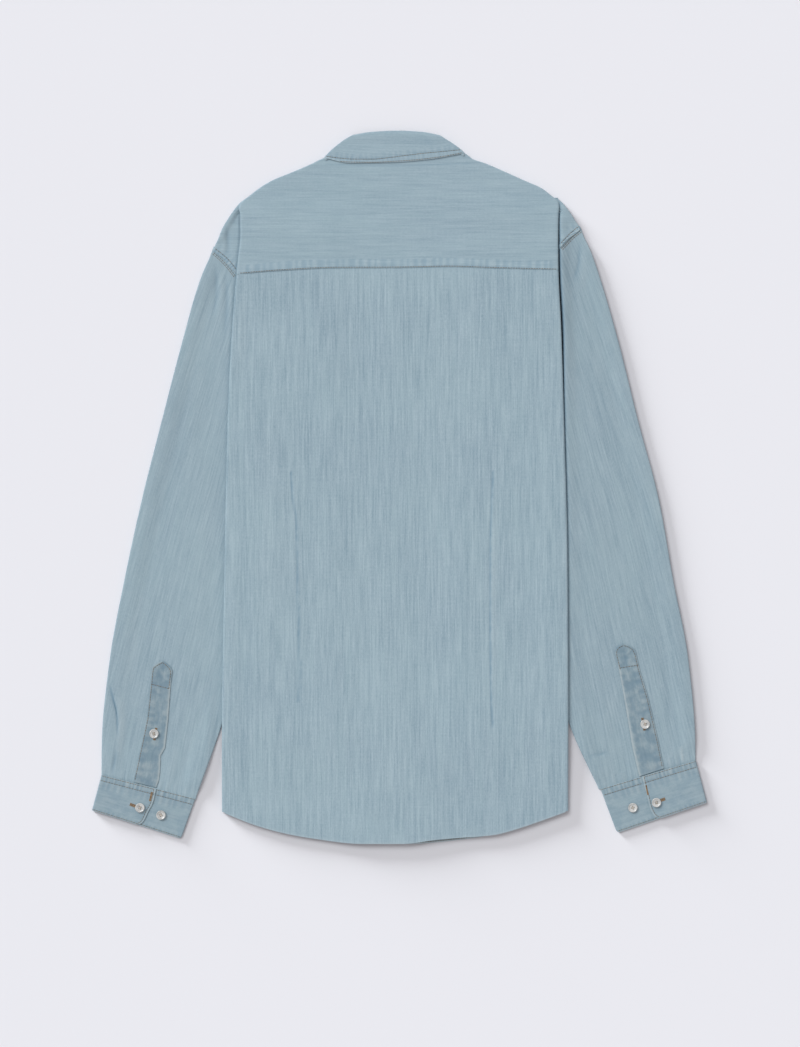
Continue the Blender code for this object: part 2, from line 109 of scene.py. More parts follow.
@dataclass(frozen=True)
class Track:
    """A value that changes smoothly along a key, through a few named places.

    Attributes:
        places: The key at each place, rising.
        values: The value at each place.
    """

    places: tuple[float, ...]
    values: tuple[float, ...]

    def at(self, where: Number) -> Array:
        """Value along the track, without overshoot between its places.

        Args:
            where: One key or an array of keys, held to the ends of the track.

        Returns:
            The values, in the same shape.
        """
        keys = np.asarray(self.places, float)
        vals = np.asarray(self.values, float)
        step = np.diff(keys)
        rise = np.diff(vals) / step
        slope = np.concatenate(([rise[0]], np.zeros(len(keys) - 2), [rise[-1]]))
        first = 2 * step[1:] + step[:-1]
        second = step[1:] + 2 * step[:-1]
        same = rise[:-1] * rise[1:] > 0
        safe_low = np.where(same, rise[:-1], 1.0)
        safe_high = np.where(same, rise[1:], 1.0)
        blend = (first + second) / (first / safe_low + second / safe_high)
        slope[1:-1] = np.where(same, blend, 0.0)
        spot = np.clip(np.asarray(where, float), keys[0], keys[-1])
        index = np.clip(np.searchsorted(keys, spot, side="right") - 1, 0, len(keys) - 2)
        width = step[index]
        t = (spot - keys[index]) / width
        low = (1 + 2 * t) * (1 - t) ** 2 * vals[index] + t * t * (3 - 2 * t) * vals[index + 1]
        bend = t * (1 - t) ** 2 * slope[index] - t * t * (1 - t) * slope[index + 1]
        return low + width * bend


def track(rows: Table, column: int, key: int = 0) -> Track:
    """Track through one column of a short table.

    Args:
        rows: The table, a row for each place.
        column: Which column holds the values.
        key: Which column holds the keys.

    Returns:
        The track, sorted along its key.
    """
    ordered = sorted(rows, key=lambda row: row[key])
    return Track(tuple(row[key] for row in ordered), tuple(row[column] for row in ordered))


def smooth(share: Number) -> Array:
    """Ease from 0 to 1 with level ends."""
    share = np.clip(share, 0.0, 1.0)
    return share * share * (3 - 2 * share)


def mix(low: Number, high: Number, share: Number) -> Array:
    """Straight blend from low to high."""
    return low + (high - low) * share


def graded(start: float, stop: float, step: float, fine: Sequence[tuple[float, float, float]]) -> Array:
    """Places from start to stop, closer together near some spots.

    Args:
        start: First place.
        stop: Last place.
        step: Usual spacing.
        fine: For each spot, its centre, its reach and its spacing.

    Returns:
        Rising places, both ends included.
    """
    places = [start]
    while places[-1] < stop:
        here = places[-1]
        gap = step
        for centre, reach, close in fine:
            away = max(abs(here - centre) - reach, 0.0)
            gap = min(gap, close + away * 0.25)
        places.append(here + gap)
    spread = np.asarray(places)
    return start + (spread - start) * (stop - start) / (spread[-1] - start)


def run_along(line: Array) -> Array:
    """Distance from the start of a line to each of its points."""
    return np.concatenate(([0.0], np.cumsum(np.hypot(*np.diff(line, axis=0).T))))


def curve_through(points: Points, spacing: float = 1.0) -> Array:
    """Smooth line through a few points, at even spacing.

    Args:
        points: Points in plan.
        spacing: Distance between the points of the result.

    Returns:
        Array of points, one row each.
    """
    given = np.asarray(points, float)
    if len(given) == 2:
        dense = np.linspace(given[0], given[1], 200)
    else:
        legs = run_along(given)
        along = np.linspace(0.0, legs[-1], 1200)
        dense = np.stack([Track(tuple(legs), tuple(given[:, axis])).at(along) for axis in (0, 1)], axis=1)
    run = run_along(dense)
    count = max(int(round(run[-1] / spacing)), 2)
    even = np.linspace(0.0, run[-1], count + 1)
    return np.stack([np.interp(even, run, dense[:, axis]) for axis in (0, 1)], axis=1)


def beside(line: Array, offset: float) -> Array:
    """Move a line sideways.

    Args:
        line: Points of the line.
        offset: How far, to its left when above 0.

    Returns:
        Points of the moved line.
    """
    ahead = np.gradient(line, axis=0)
    ahead /= np.maximum(np.hypot(ahead[:, 0], ahead[:, 1]), TINY)[:, None]
    return line + offset * np.stack([-ahead[:, 1], ahead[:, 0]], axis=1)


def from_line(x: Array, y: Array, line: Array) -> tuple[Array, Array]:
    """Where points lie beside a line.

    Args:
        x: Places across.
        y: Places up.
        line: Points of the line, a few millimetres apart.

    Returns:
        Signed distance from the line, positive on its left, and the distance along it.
    """
    flat = np.stack([x.ravel(), y.ravel()], axis=1)
    legs = run_along(line)
    best = np.full(len(flat), FAR)
    signed = np.full(len(flat), FAR)
    along = np.zeros(len(flat))
    for index in range(len(line) - 1):
        leg = line[index + 1] - line[index]
        size = max(float(np.hypot(*leg)), TINY)
        rel = flat - line[index]
        share = np.clip((rel @ leg) / size ** 2, 0.0, 1.0)
        off = rel - share[:, None] * leg
        away = np.hypot(off[:, 0], off[:, 1])
        closer = away < best
        turn = leg[0] * rel[:, 1] - leg[1] * rel[:, 0]
        best = np.where(closer, away, best)
        signed = np.where(closer, np.where(turn >= 0, away, -away), signed)
        along = np.where(closer, legs[index] + share * size, along)
    return signed.reshape(x.shape), along.reshape(x.shape)


def deselect_all() -> None:
    """Leave nothing selected."""
    bpy.ops.object.select_all(action="DESELECT")


def select_only(item: Item) -> None:
    """Make one object the selected and active one.

    Args:
        item: The object.
    """
    deselect_all()
    item.select_set(True)
    bpy.context.view_layer.objects.active = item


def apply_modifier(item: Item, kind: str, **settings: object) -> None:
    """Add a modifier and apply it.

    Args:
        item: The object.
        kind: The modifier's type.
        **settings: Values for its fields.
    """
    select_only(item)
    modifier = item.modifiers.new(kind.title(), kind)
    for name, value in settings.items():
        setattr(modifier, name, value)
    bpy.ops.object.modifier_apply(modifier=modifier.name)


def join_into(main_item: Item, items: Sequence[Item]) -> None:
    """Join objects into one of them.

    Args:
        main_item: The object that stays.
        items: All the objects, that one among them.
    """
    select_only(main_item)
    for item in items:
        item.select_set(True)
    bpy.ops.object.join()


# Finishes

class Value:
    """A number socket that can be used in ordinary sums."""

    def __init__(self, maker: "ShaderMaker", socket: Socket) -> None:
        """Wrap a socket of the maker's tree."""
        self.maker = maker
        self.socket = socket

    def _sum(self, operation: str, *others: object) -> "Value":
        """Put this value and others through one Math node.

        Args:
            operation: The node's operation.
            *others: Values or plain numbers.

        Returns:
            The node's result.
        """
        inputs = {0: self.socket}
        for place, other in enumerate(others, start=1):
            inputs[place] = other.socket if isinstance(other, Value) else other
        return self.maker.node("ShaderNodeMath", {"operation": operation}, inputs).value("Value")

    def __add__(self, other: object) -> "Value":
        """Sum."""
        return self._sum("ADD", other)

    __radd__ = __add__

    def __mul__(self, other: object) -> "Value":
        """Product."""
        return self._sum("MULTIPLY", other)

    __rmul__ = __mul__

    def __sub__(self, other: object) -> "Value":
        """Difference."""
        return self._sum("SUBTRACT", other)

    def __rsub__(self, other: float) -> "Value":
        """Difference from a plain number."""
        return self._sum("MULTIPLY", -1.0)._sum("ADD", other)

    def clamped(self) -> "Value":
        """Held between 0 and 1."""
        return self._sum("MINIMUM", 1.0)._sum("MAXIMUM", 0.0)

    def between(self, low: float, high: float) -> "Value":
        """0 below low, 1 above high, even in between."""
        return ((self - low) * (1.0 / (high - low))).clamped()


class MadeNode:
    """A node that has been added, with its outputs by name."""

    def __init__(self, maker: "ShaderMaker", made: bpy.types.Node) -> None:
        """Keep the node and its maker."""
        self.maker = maker
        self.made = made

    def value(self, name: str) -> Value:
        """A number output."""
        return Value(self.maker, self.made.outputs[name])

    def link(self, name: str) -> Socket:
        """An output as a plain socket."""
        return self.made.outputs[name]


class ShaderMaker:
    """Builds one material's nodes."""

    def __init__(self, name: str) -> None:
        """Start an empty Principled material."""
        self.material = bpy.data.materials.new(name)
        self.material.use_nodes = True
        self.tree = self.material.node_tree
        self.shader = self.tree.nodes["Principled BSDF"]

    def node(self, kind: str, settings: dict[str, object], inputs: dict[object, object]) -> MadeNode:
        """Add one node.

        Args:
            kind: The node's type.
            settings: Fields of the node, set first.
            inputs: Values or links for its input sockets, by name or place.

        Returns:
            The added node.
        """
        made = self.tree.nodes.new(kind)
        for name, value in settings.items():
            setattr(made, name, value)
        for place, value in inputs.items():
            source = value.socket if isinstance(value, Value) else value
            if isinstance(source, Socket):
                self.tree.links.new(source, made.inputs[place])
            else:
                made.inputs[place].default_value = source
        return MadeNode(self, made)

    def noise(self, vector: Socket, detail: float, roughness: float = 0.5) -> Value:
        """Noise at unit scale on a vector."""
        inputs = {"Vector": vector, "Scale": 1.0, "Detail": detail, "Roughness": roughness}
        return self.node("ShaderNodeTexNoise", {}, inputs).value("Fac")

    def vector(self, x: object, y: object, z: object = 0.0) -> Socket:
        """A vector from three values."""
        return self.node("ShaderNodeCombineXYZ", {}, {"X": x, "Y": y, "Z": z}).link("Vector")

    def place(self) -> tuple[Value, Value, Value]:
        """Find the shaded point's place on its object, in metres.

        Returns:
            Its X, Y and Z.
        """
        found = self.node("ShaderNodeTexCoord", {}, {}).link("Object")
        split = self.node("ShaderNodeSeparateXYZ", {}, {0: found})
        return split.value("X"), split.value("Y"), split.value("Z")

    def blend(self, share: Value, low: object, high: object) -> Socket:
        """Colour blend from low to high."""
        made = self.node("ShaderNodeMix", {"data_type": "RGBA"}, {0: share, 6: low, 7: high})
        return made.made.outputs[2]

    def feed(self, name: str, source: object) -> None:
        """Link a socket, or set a constant, on the shader.

        Args:
            name: The shader's input.
            source: A value, socket or constant.
        """
        source = source.socket if isinstance(source, Value) else source
        if isinstance(source, Socket):
            self.tree.links.new(source, self.shader.inputs[name])
        else:
            self.shader.inputs[name].default_value = source

    def bump(self, height: Value, strength: float, distance: float) -> None:
        """Feed a bump to the shader's normal."""
        inputs = {"Strength": strength, "Distance": distance, "Height": height}
        self.feed("Normal", self.node("ShaderNodeBump", {}, inputs).link("Normal"))


@dataclass(frozen=True)
class DenimFinish:
    """Light-wash chambray: pale weft over a blue-grey warp, with uneven yarns.

    The cloth's UV map holds the distance across the warp and along it, in metres. The attribute
    "wear" is above 0 where a seam is rubbed pale and where highlight is painted on crease ridges,
    below 0 where the cloth stays blue and where shade is painted in creases and beside the side folds, and
    below -1 where a near-black shadow is painted into the deepest gaps.
    """

    name: str = "denim"
    shade: float = 1.0
    deep: Colour = (0.270, 0.380, 0.450, 1.0)
    pale: Colour = (0.440, 0.560, 0.625, 1.0)
    teal: Colour = (0.315, 0.470, 0.505, 1.0)
    # Rubbed pale; the same colour paints highlight on crease ridges and along the front hem edge.
    rubbed: Colour = (0.560, 0.650, 0.680, 1.0)
    # Unfaded blue; the same colour paints shade in creases and beside the side folds.
    blue: Colour = (0.205, 0.325, 0.420, 1.0)
    # Near-black painted shadow for the deep gaps beside the side folds and in the deepest creases.
    hidden: Colour = (0.012, 0.028, 0.045, 1.0)
    seed: float = 0.0
    mottle: float = 0.04
    contrast: float = 1.12
    yarns: tuple[tuple[str, float, float, float, float, float, float], ...] = (
        # name, waves across and along each metre, shift, detail, roughness, strength in the tone
        ("yarn", 520.0, 20.0, 0.0, 4.0, 0.7, 2.0), ("slub", 250.0, 8.0, 3.0, 3.0, 0.5, 0.7),
        ("drift", 70.0, 2.6, 7.0, 3.0, 0.5, 0.5), ("weft", 26.0, 900.0, 11.0, 2.0, 0.5, 0.3),
        ("fleck", 800.0, 330.0, 23.0, 2.0, 0.7, 1.0), ("wash", 9.0, 7.0, 19.0, 2.0, 0.5, 0.4),
        ("patch", 95.0, 60.0, 31.0, 3.0, 0.6, 0.0),
    )

    def tone(self, colour: Colour) -> Colour:
        """A colour of the finish in its shade."""
        return (colour[0] * self.shade, colour[1] * self.shade, colour[2] * self.shade, 1.0)

    def make(self) -> Material:
        """Build the material.

        Returns:
            The material, ready to assign.
        """
        maker = ShaderMaker(self.name)
        uv = maker.node("ShaderNodeUVMap", {"uv_map": "Cloth"}, {}).link("UV")
        split = maker.node("ShaderNodeSeparateXYZ", {}, {0: uv})
        across, along = split.value("X"), split.value("Y")
        noises = {}
        tone = 0.5
        for name, wide, long, shift, detail, rough, strength in self.yarns:
            place = maker.vector(across * wide, along * long, self.seed + shift)
            noises[name] = maker.noise(place, detail, rough)
            if strength > 0:
                tone = (noises[name] - 0.5) * (strength * self.contrast) + tone
        yarn, slub, _, weft, fleck, wash, patch = noises.values()
        colour = maker.blend(tone.clamped(), self.tone(self.deep), self.tone(self.pale))
        hue = (wash.between(0.40, 0.62) * 0.10 + slub.between(0.45, 0.7) * 0.12).clamped()
        colour = maker.blend(hue, colour, self.tone(self.teal))
        colour = maker.blend(patch.between(0.47, 0.60) * self.mottle, colour, self.tone(self.blue))
        faded = (0.5 - patch).between(0.02, 0.14) * (self.mottle * 0.6)
        colour = maker.blend(faded, colour, self.tone(self.rubbed))
        wear = maker.node("ShaderNodeAttribute", {"attribute_name": "wear"}, {}).value("Fac")
        patchy = 0.75 + (fleck - 0.5) * 0.9
        # Above 0: rubbed pale cloth, and painted highlight on crease ridges and along the front hem edge.
        colour = maker.blend((wear * patchy).clamped(), colour, self.tone(self.rubbed))
        # Below 0: unfaded blue cloth, and painted shade in creases and beside the side folds.
        colour = maker.blend((wear * -1.0 * patchy).clamped(), colour, self.tone(self.blue))
        # Below -1 the cloth is painted near-black: painted shadow in the deep gaps.
        colour = maker.blend((wear * -1.0 - 1.0).clamped(), colour, self.hidden)
        maker.feed("Base Color", colour)
        maker.feed("Roughness", 0.86 + (yarn - 0.5) * 0.16)
        maker.feed("Specular IOR Level", 0.22)
        maker.feed("Sheen Weight", 0.12)
        maker.feed("Sheen Roughness", 0.6)
        twill = maker.node(
            "ShaderNodeTexWave", {"wave_type": "BANDS", "bands_direction": "DIAGONAL"},
            {"Vector": maker.vector(across * 900.0, along * 900.0), "Scale": 0.32, "Distortion": 0.6},
        ).value("Fac")
        maker.bump(twill * 0.35 + yarn * 0.8 + weft * 0.45, 0.5, 0.00012)
        return maker.material


@dataclass(frozen=True)
class ThreadFinish:
    """Twisted sewing thread in two browns that vary in patches."""

    name: str = "thread"
    dark: Colour = (0.125, 0.095, 0.070, 1.0)
    light: Colour = (0.310, 0.228, 0.150, 1.0)

    def make(self) -> Material:
        """Build the material."""
        maker = ShaderMaker(self.name)
        x, y, _ = maker.place()
        patch = maker.noise(maker.vector(x * 300.0, y * 300.0), 2.0)
        maker.feed("Base Color", maker.blend(patch.between(0.3, 0.7), self.dark, self.light))
        maker.feed("Roughness", 0.7 + (patch - 0.5) * 0.2)
        twist = maker.noise(maker.vector(x * 4000.0, y * 4000.0), 1.0)
        maker.bump(twist, 0.4, 0.0001)
        return maker.material


@dataclass(frozen=True)
class PearlFinish:
    """Milky shell-like button plastic with soft clouds and a clear gloss."""

    name: str = "pearl_button"
    milk: Colour = (0.68, 0.68, 0.66, 1.0)
    cloud: Colour = (0.38, 0.39, 0.39, 1.0)

    def make(self) -> Material:
        """Build the material."""
        maker = ShaderMaker(self.name)
        x, y, z = maker.place()
        swirl = maker.noise(maker.vector(x * 260.0, y * 190.0, z * 150.0), 3.0, 0.6)
        maker.feed("Base Color", maker.blend(swirl.between(0.42, 0.66), self.milk, self.cloud))
        maker.feed("Roughness", 0.22 + (swirl - 0.5) * 0.2)
        maker.feed("Specular IOR Level", 0.6)
        maker.feed("Coat Weight", 0.5)
        maker.feed("Coat Roughness", 0.08)
        maker.bump(swirl, 0.1, 0.0001)
        return maker.material


@dataclass(frozen=True)
class FloorFinish:
    """Plain pale ground."""

    name: str = "pale_floor"
    colour: Colour = (0.655, 0.650, 0.681, 1.0)

    def make(self) -> Material:
        """Build the material."""
        maker = ShaderMaker(self.name)
        maker.feed("Base Color", self.colour)
        maker.feed("Roughness", 0.95)
        maker.feed("Specular IOR Level", 0.0)
        return maker.material


def made_once(finish: Union[DenimFinish, ThreadFinish, PearlFinish, FloorFinish]) -> Material:
    """Field whose material is made when its wardrobe is."""
    return field(default_factory=finish.make)


@dataclass
class Wardrobe:
    """All finishes, made once."""

    denim: Material = made_once(DenimFinish())
    denim_cross: Material = made_once(DenimFinish("denim_cross", seed=40.0, contrast=0.72))
    denim_left: Material = made_once(
        DenimFinish("denim_left_sleeve", shade=0.975, seed=12.0, contrast=0.9))
    denim_right: Material = made_once(
        DenimFinish("denim_right_sleeve", shade=0.935, seed=27.0, contrast=0.95))
    denim_cuff: Material = made_once(
        DenimFinish("denim_cuff", shade=0.885, seed=55.0, mottle=0.2, contrast=0.6))
    denim_strip: Material = made_once(
        DenimFinish("denim_strip", shade=0.80, seed=70.0, mottle=0.5, contrast=0.8))
    thread: Material = made_once(ThreadFinish())
    orange: Material = made_once(
        ThreadFinish("buttonhole_thread", (0.190, 0.115, 0.060, 1.0), (0.420, 0.270, 0.140, 1.0)))
    white: Material = made_once(
        ThreadFinish("button_thread", (0.420, 0.360, 0.290, 1.0), (0.600, 0.540, 0.460, 1.0)))
    pearl: Material = made_once(PearlFinish())
    floor: Material = made_once(FloorFinish())


# Cloth

@dataclass(frozen=True)
class Crease:
    """A soft trough or ridge along a line.

    Attributes:
        line: A few points of the line in plan.
        rise: Height at its middle, below 0 for a trough.
        width: Distance at which it has mostly died out.
        wear: Painted highlight along it above 0, painted shade below 0, near-black below -1.
    """

    line: Points
    rise: float
    width: float
    wear: float = 0.0

    def form(self, x: Array, y: Array) -> tuple[Array, Array]:
        """Work out the mark at some places.

        Args:
            x: Places across.
            y: Places up.

        Returns:
            Height, and its painted highlight and shade.
        """
        path = curve_through(self.line, 6.0)
        away, along = from_line(x, y, path)
        length = float(np.hypot(*np.diff(path, axis=0).T).sum())
        ends = np.clip(np.sin(np.pi * np.clip(along / length, 0.0, 1.0)), 0.0, 1.0) ** 0.6
        bell = np.exp(-(away / self.width) ** 2) * ends
        return self.rise * bell, self.wear * bell


@dataclass(frozen=True)
class Pucker:
    """Cloth gathered unevenly beside a row of stitches.

    Attributes:
        line: Points of the row, as an array.
        inner: Nearest distance from the row, to its left when above 0.
        outer: Farthest distance from the row.
        pitch: Usual distance from one gather to the next.
        rise: Height of the gathers.
        wear: Strength of the pale ridges and blue hollows.
        seed: Shifts the pattern.
        pale: How pale the ridges are, against how blue the hollows are.
        fade: Distance over which the gathers die out at either side.
    """

    line: Array
    inner: float
    outer: float
    pitch: float
    rise: float
    wear: float
    seed: float = 0.0
    pale: float = 1.0
    fade: float = 0.8

    def form(self, x: Array, y: Array) -> tuple[Array, Array]:
        """Work out the mark at some places.

        Args:
            x: Places across.
            y: Places up.

        Returns:
            Height and wear.
        """
        away, along = from_line(x, y, self.line)
        turn = 2 * np.pi / self.pitch
        phase = along * turn
        phase = phase + np.sin(along * turn * 0.23 + self.seed)
        phase = phase + 0.6 * np.sin(along * turn * 0.51 + 2.3 * self.seed)
        strength = 0.65 + 0.35 * np.sin(along * turn * 0.13 + 1.7 * self.seed)
        wave = np.cos(phase) * strength
        edge = self.fade
        band = smooth((away - self.inner + edge) / edge) * smooth((self.outer - away + edge) / edge)
        tint = np.tanh(3.0 * (wave - 0.25 * (1.0 - self.pale)))
        return self.rise * wave * band, self.wear * np.where(tint > 0, tint * self.pale, tint) * band


@dataclass(frozen=True)
class SeamDent:
    """The line that stitches press into the cloth."""

    line: Array
    depth: float = 0.25
    width: float = 0.9
    wear: float = -0.35

    def form(self, x: Array, y: Array) -> tuple[Array, Array]:
        """Work out the mark at some places.

        Args:
            x: Places across.
            y: Places up.

        Returns:
            Height and wear.
        """
        away, _ = from_line(x, y, self.line)
        bell = np.exp(-(away / self.width) ** 2)
        return -self.depth * bell, self.wear * bell


def ripple(x: Array, y: Array, size: float, rise: float, seed: int, stretch: float = 1.0) -> Array:
    """Faint unevenness of cloth that has been laid by hand.

    Args:
        x: Places across.
        y: Places up.
        size: Usual length of a wave.
        rise: Usual height.
        seed: Chooses the pattern.
        stretch: How much longer the waves are along Y than across.

    Returns:
        Heights.
    """
    chance = np.random.default_rng(seed)
    total = np.zeros_like(x)
    for _ in range(7):
        angle = chance.uniform(0, 2 * np.pi)
        length = size * chance.uniform(0.7, 1.6)
        start = chance.uniform(0, 2 * np.pi)
        wave = (np.cos(angle) * x + np.sin(angle) * y / stretch) * 2 * np.pi / length
        total = total + np.sin(wave + start)
    return total * rise / 3.0


Form = Union[Crease, Pucker, SeamDent]


@dataclass
class ClothSheet:
    """A sheet worked out as rows of points.

    Attributes:
        points: Rows of points on the middle of the sheet.
        grain: For each point, the distance across the warp and along it.
        showing: 1 where details are pressed into the sheet, 0 where it is out of sight.
        wear: Rubbed pale and painted highlight above 0, unfaded blue and painted shade below 0.
    """

    points: Array
    grain: Array
    showing: Array
    wear: Optional[Array] = None

    def press(self, forms: Sequence[Form]) -> None:
        """Press marks into the part that shows.

        Args:
            forms: Creases, puckers and seams.
        """
        if self.wear is None:
            self.wear = np.zeros(self.points.shape[:2])
        x, y = self.points[..., 0].copy(), self.points[..., 1].copy()
        for form in forms:
            height, wear = form.form(x, y)
            self.points[..., 2] += height * self.showing
            self.wear += wear * self.showing

    def build(self, name: str, wall: float, material: Material, closed: bool = False) -> Item:
        """Make the sheet as an object with a wall.

        Args:
            name: The piece's name.
            wall: Thickness of the cloth.
            material: Its finish.
            closed: Whether the last column meets the first.

        Returns:
            The finished object.
        """
        rows, columns = self.points.shape[:2]
        deselect_all()
        bpy.ops.mesh.primitive_grid_add(x_subdivisions=columns - 1, y_subdivisions=rows - 1, size=1.0)
        item = bpy.context.active_object
        item.name = name
        mesh = item.data
        mesh.name = name
        mesh.vertices.foreach_set("co", (self.points.reshape(-1, 3) * MM).astype(np.float32).ravel())
        corner = np.zeros(len(mesh.loops), np.int32)
        mesh.loops.foreach_get("vertex_index", corner)
        while mesh.uv_layers:
            mesh.uv_layers.remove(mesh.uv_layers[0])
        layer = mesh.uv_layers.new(name="Cloth")
        layer.data.foreach_set("uv", (self.grain.reshape(-1, 2) * MM)[corner].astype(np.float32).ravel())
        wear = self.wear if self.wear is not None else np.zeros((rows, columns))
        spots = mesh.attributes.new("wear", "FLOAT", "POINT")
        spots.data.foreach_set("value", np.clip(wear, -2, 1).astype(np.float32).ravel())
        mesh.update()
        if closed:
            select_only(item)
            bpy.ops.object.mode_set(mode="EDIT")
            bpy.ops.mesh.select_all(action="SELECT")
            bpy.ops.mesh.remove_doubles(threshold=0.00001)
            bpy.ops.object.mode_set(mode="OBJECT")
        apply_modifier(item, "SOLIDIFY", thickness=wall * MM, offset=0.0, use_rim=True)
        mesh.materials.clear()
        mesh.materials.append(material)
        select_only(item)
        bpy.ops.object.shade_smooth_by_angle(angle=math.radians(60))
        return item


def turned_grain(x: Array, y: Array, degrees: float) -> Array:
    """Distance across and along a warp that is turned from +Y.

    Args:
        x: Places across the shirt.
        y: Places up the shirt.
        degrees: Turn of the warp, anticlockwise.

    Returns:
        Array with two values for each place.
    """
    angle = math.radians(degrees)
    across = x * math.cos(angle) + y * math.sin(angle)
    along = -x * math.sin(angle) + y * math.cos(angle)
    return np.stack([across, along], axis=-1)


@dataclass
class Ground:
    """The cloth that stitches and buttons are set on."""

    items: list[Item]
    below: bool = False

    def __post_init__(self) -> None:
        """Collect the surfaces once."""
        vertices: list[Vector] = []
        faces: list[tuple[int, ...]] = []
        for item in self.items:
            first = len(vertices)
            vertices += [vertex.co.copy() for vertex in item.data.vertices]
            faces += [tuple(first + index for index in face.vertices) for face in item.data.polygons]
        self.tree = BVHTree.FromPolygons(vertices, faces)

    def height(self, x: float, y: float) -> Optional[float]:
        """Find the cloth at a place.

        Args:
            x: Place across.
            y: Place up.

        Returns:
            Its height, or None where there is no cloth.
        """
        start, ahead = (-0.1, 1.0) if self.below else (0.1, -1.0)
        hit = self.tree.ray_cast(Vector((x * MM, y * MM, start)), Vector((0.0, 0.0, ahead)))
        return None if hit[0] is None else hit[0].z / MM


@dataclass
class Needle:
    """Sews rows of stitches, all of one piece in one mesh.

    Attributes:
        length: Length of a stitch.
        gap: Distance from one stitch to the next.
        radius: Radius of the thread.
        sunk: How deep it is pulled into the cloth.
        jump: Step in the cloth that a stitch doesn't cross.
        flatness: Height of a stitch as a share of its width.
    """

    length: float = 2.5
    gap: float = 0.45
    radius: float = 0.31
    sunk: float = 0.09
    jump: float = 1.2
    flatness: float = 0.8

    def _bead(self) -> tuple[Array, list[tuple[int, ...]]]:
        """Model one stitch along +X, a stretched low ball.

        Returns:
            Its vertices and faces.
        """
        deselect_all()
        bpy.ops.mesh.primitive_uv_sphere_add(
            segments=6, ring_count=5, radius=1.0, rotation=(0, math.pi / 2, 0)
        )
        item = bpy.context.active_object
        bpy.ops.object.transform_apply(location=True, rotation=True, scale=True)
        points = np.array([vertex.co[:] for vertex in item.data.vertices])
        faces = [tuple(face.vertices) for face in item.data.polygons]
        bpy.data.objects.remove(item, do_unlink=True)
        points[:, 0] = np.sign(points[:, 0]) * np.abs(points[:, 0]) ** 0.6
        return points, faces

    def sew(self, name: str, rows: Sequence[Array], ground: Ground, material: Material) -> Item:
        """Sew rows of stitches on the cloth.

        Args:
            name: The piece's name.
            rows: Lines in plan.
            ground: The cloth that carries them.
            material: The thread.

        Returns:
            One object with all the stitches.
        """
        bead, bead_faces = self._bead()
        vertices: list[Array] = []
        faces: list[tuple[int, ...]] = []
        lift = -1.0 if ground.below else 1.0
        for line in rows:
            legs = run_along(line)
            count = max(int(legs[-1] / (self.length + self.gap)), 1)
            pitch = legs[-1] / count
            for index in range(count):
                ends = []
                for spot in (index * pitch + self.gap / 2, (index + 1) * pitch - self.gap / 2):
                    x = float(np.interp(spot, legs, line[:, 0]))
                    y = float(np.interp(spot, legs, line[:, 1]))
                    z = ground.height(x, y)
                    if z is not None:
                        ends.append(np.array([x, y, z + lift * (self.radius - self.sunk) * 0.5]))
                if len(ends) < 2 or abs(ends[0][2] - ends[1][2]) > self.jump:
                    continue
                ahead = ends[1] - ends[0]
                size = float(np.linalg.norm(ahead))
                ahead /= size
                side = np.array([-ahead[1], ahead[0], 0.0])
                side /= max(np.linalg.norm(side), TINY)
                up = np.cross(ahead, side)
                body = (
                    (ends[0] + ends[1]) / 2
                    + bead[:, :1] * ahead * size / 2
                    + bead[:, 1:2] * side * self.radius
                    + bead[:, 2:3] * up * self.radius * self.flatness
                )
                first = sum(len(part) for part in vertices)
                vertices.append(body)
                faces += [tuple(first + corner for corner in face) for face in bead_faces]
        return mesh_from(name, np.concatenate(vertices), faces, material)


def mesh_from(name: str, points: Array, faces: list[tuple[int, ...]], material: Material) -> Item:
    """Object from joined copies of a modelled shape.

    Args:
        name: The piece's name.
        points: Vertices.
        faces: Corners of each face.
        material: Its finish.

    Returns:
        The object.
    """
    mesh = bpy.data.meshes.new(name)
    mesh.from_pydata((points * MM).tolist(), [], faces)
    mesh.shade_smooth()
    mesh.materials.append(material)
    item = bpy.data.objects.new(name, mesh)
    bpy.context.scene.collection.objects.link(item)
    return item


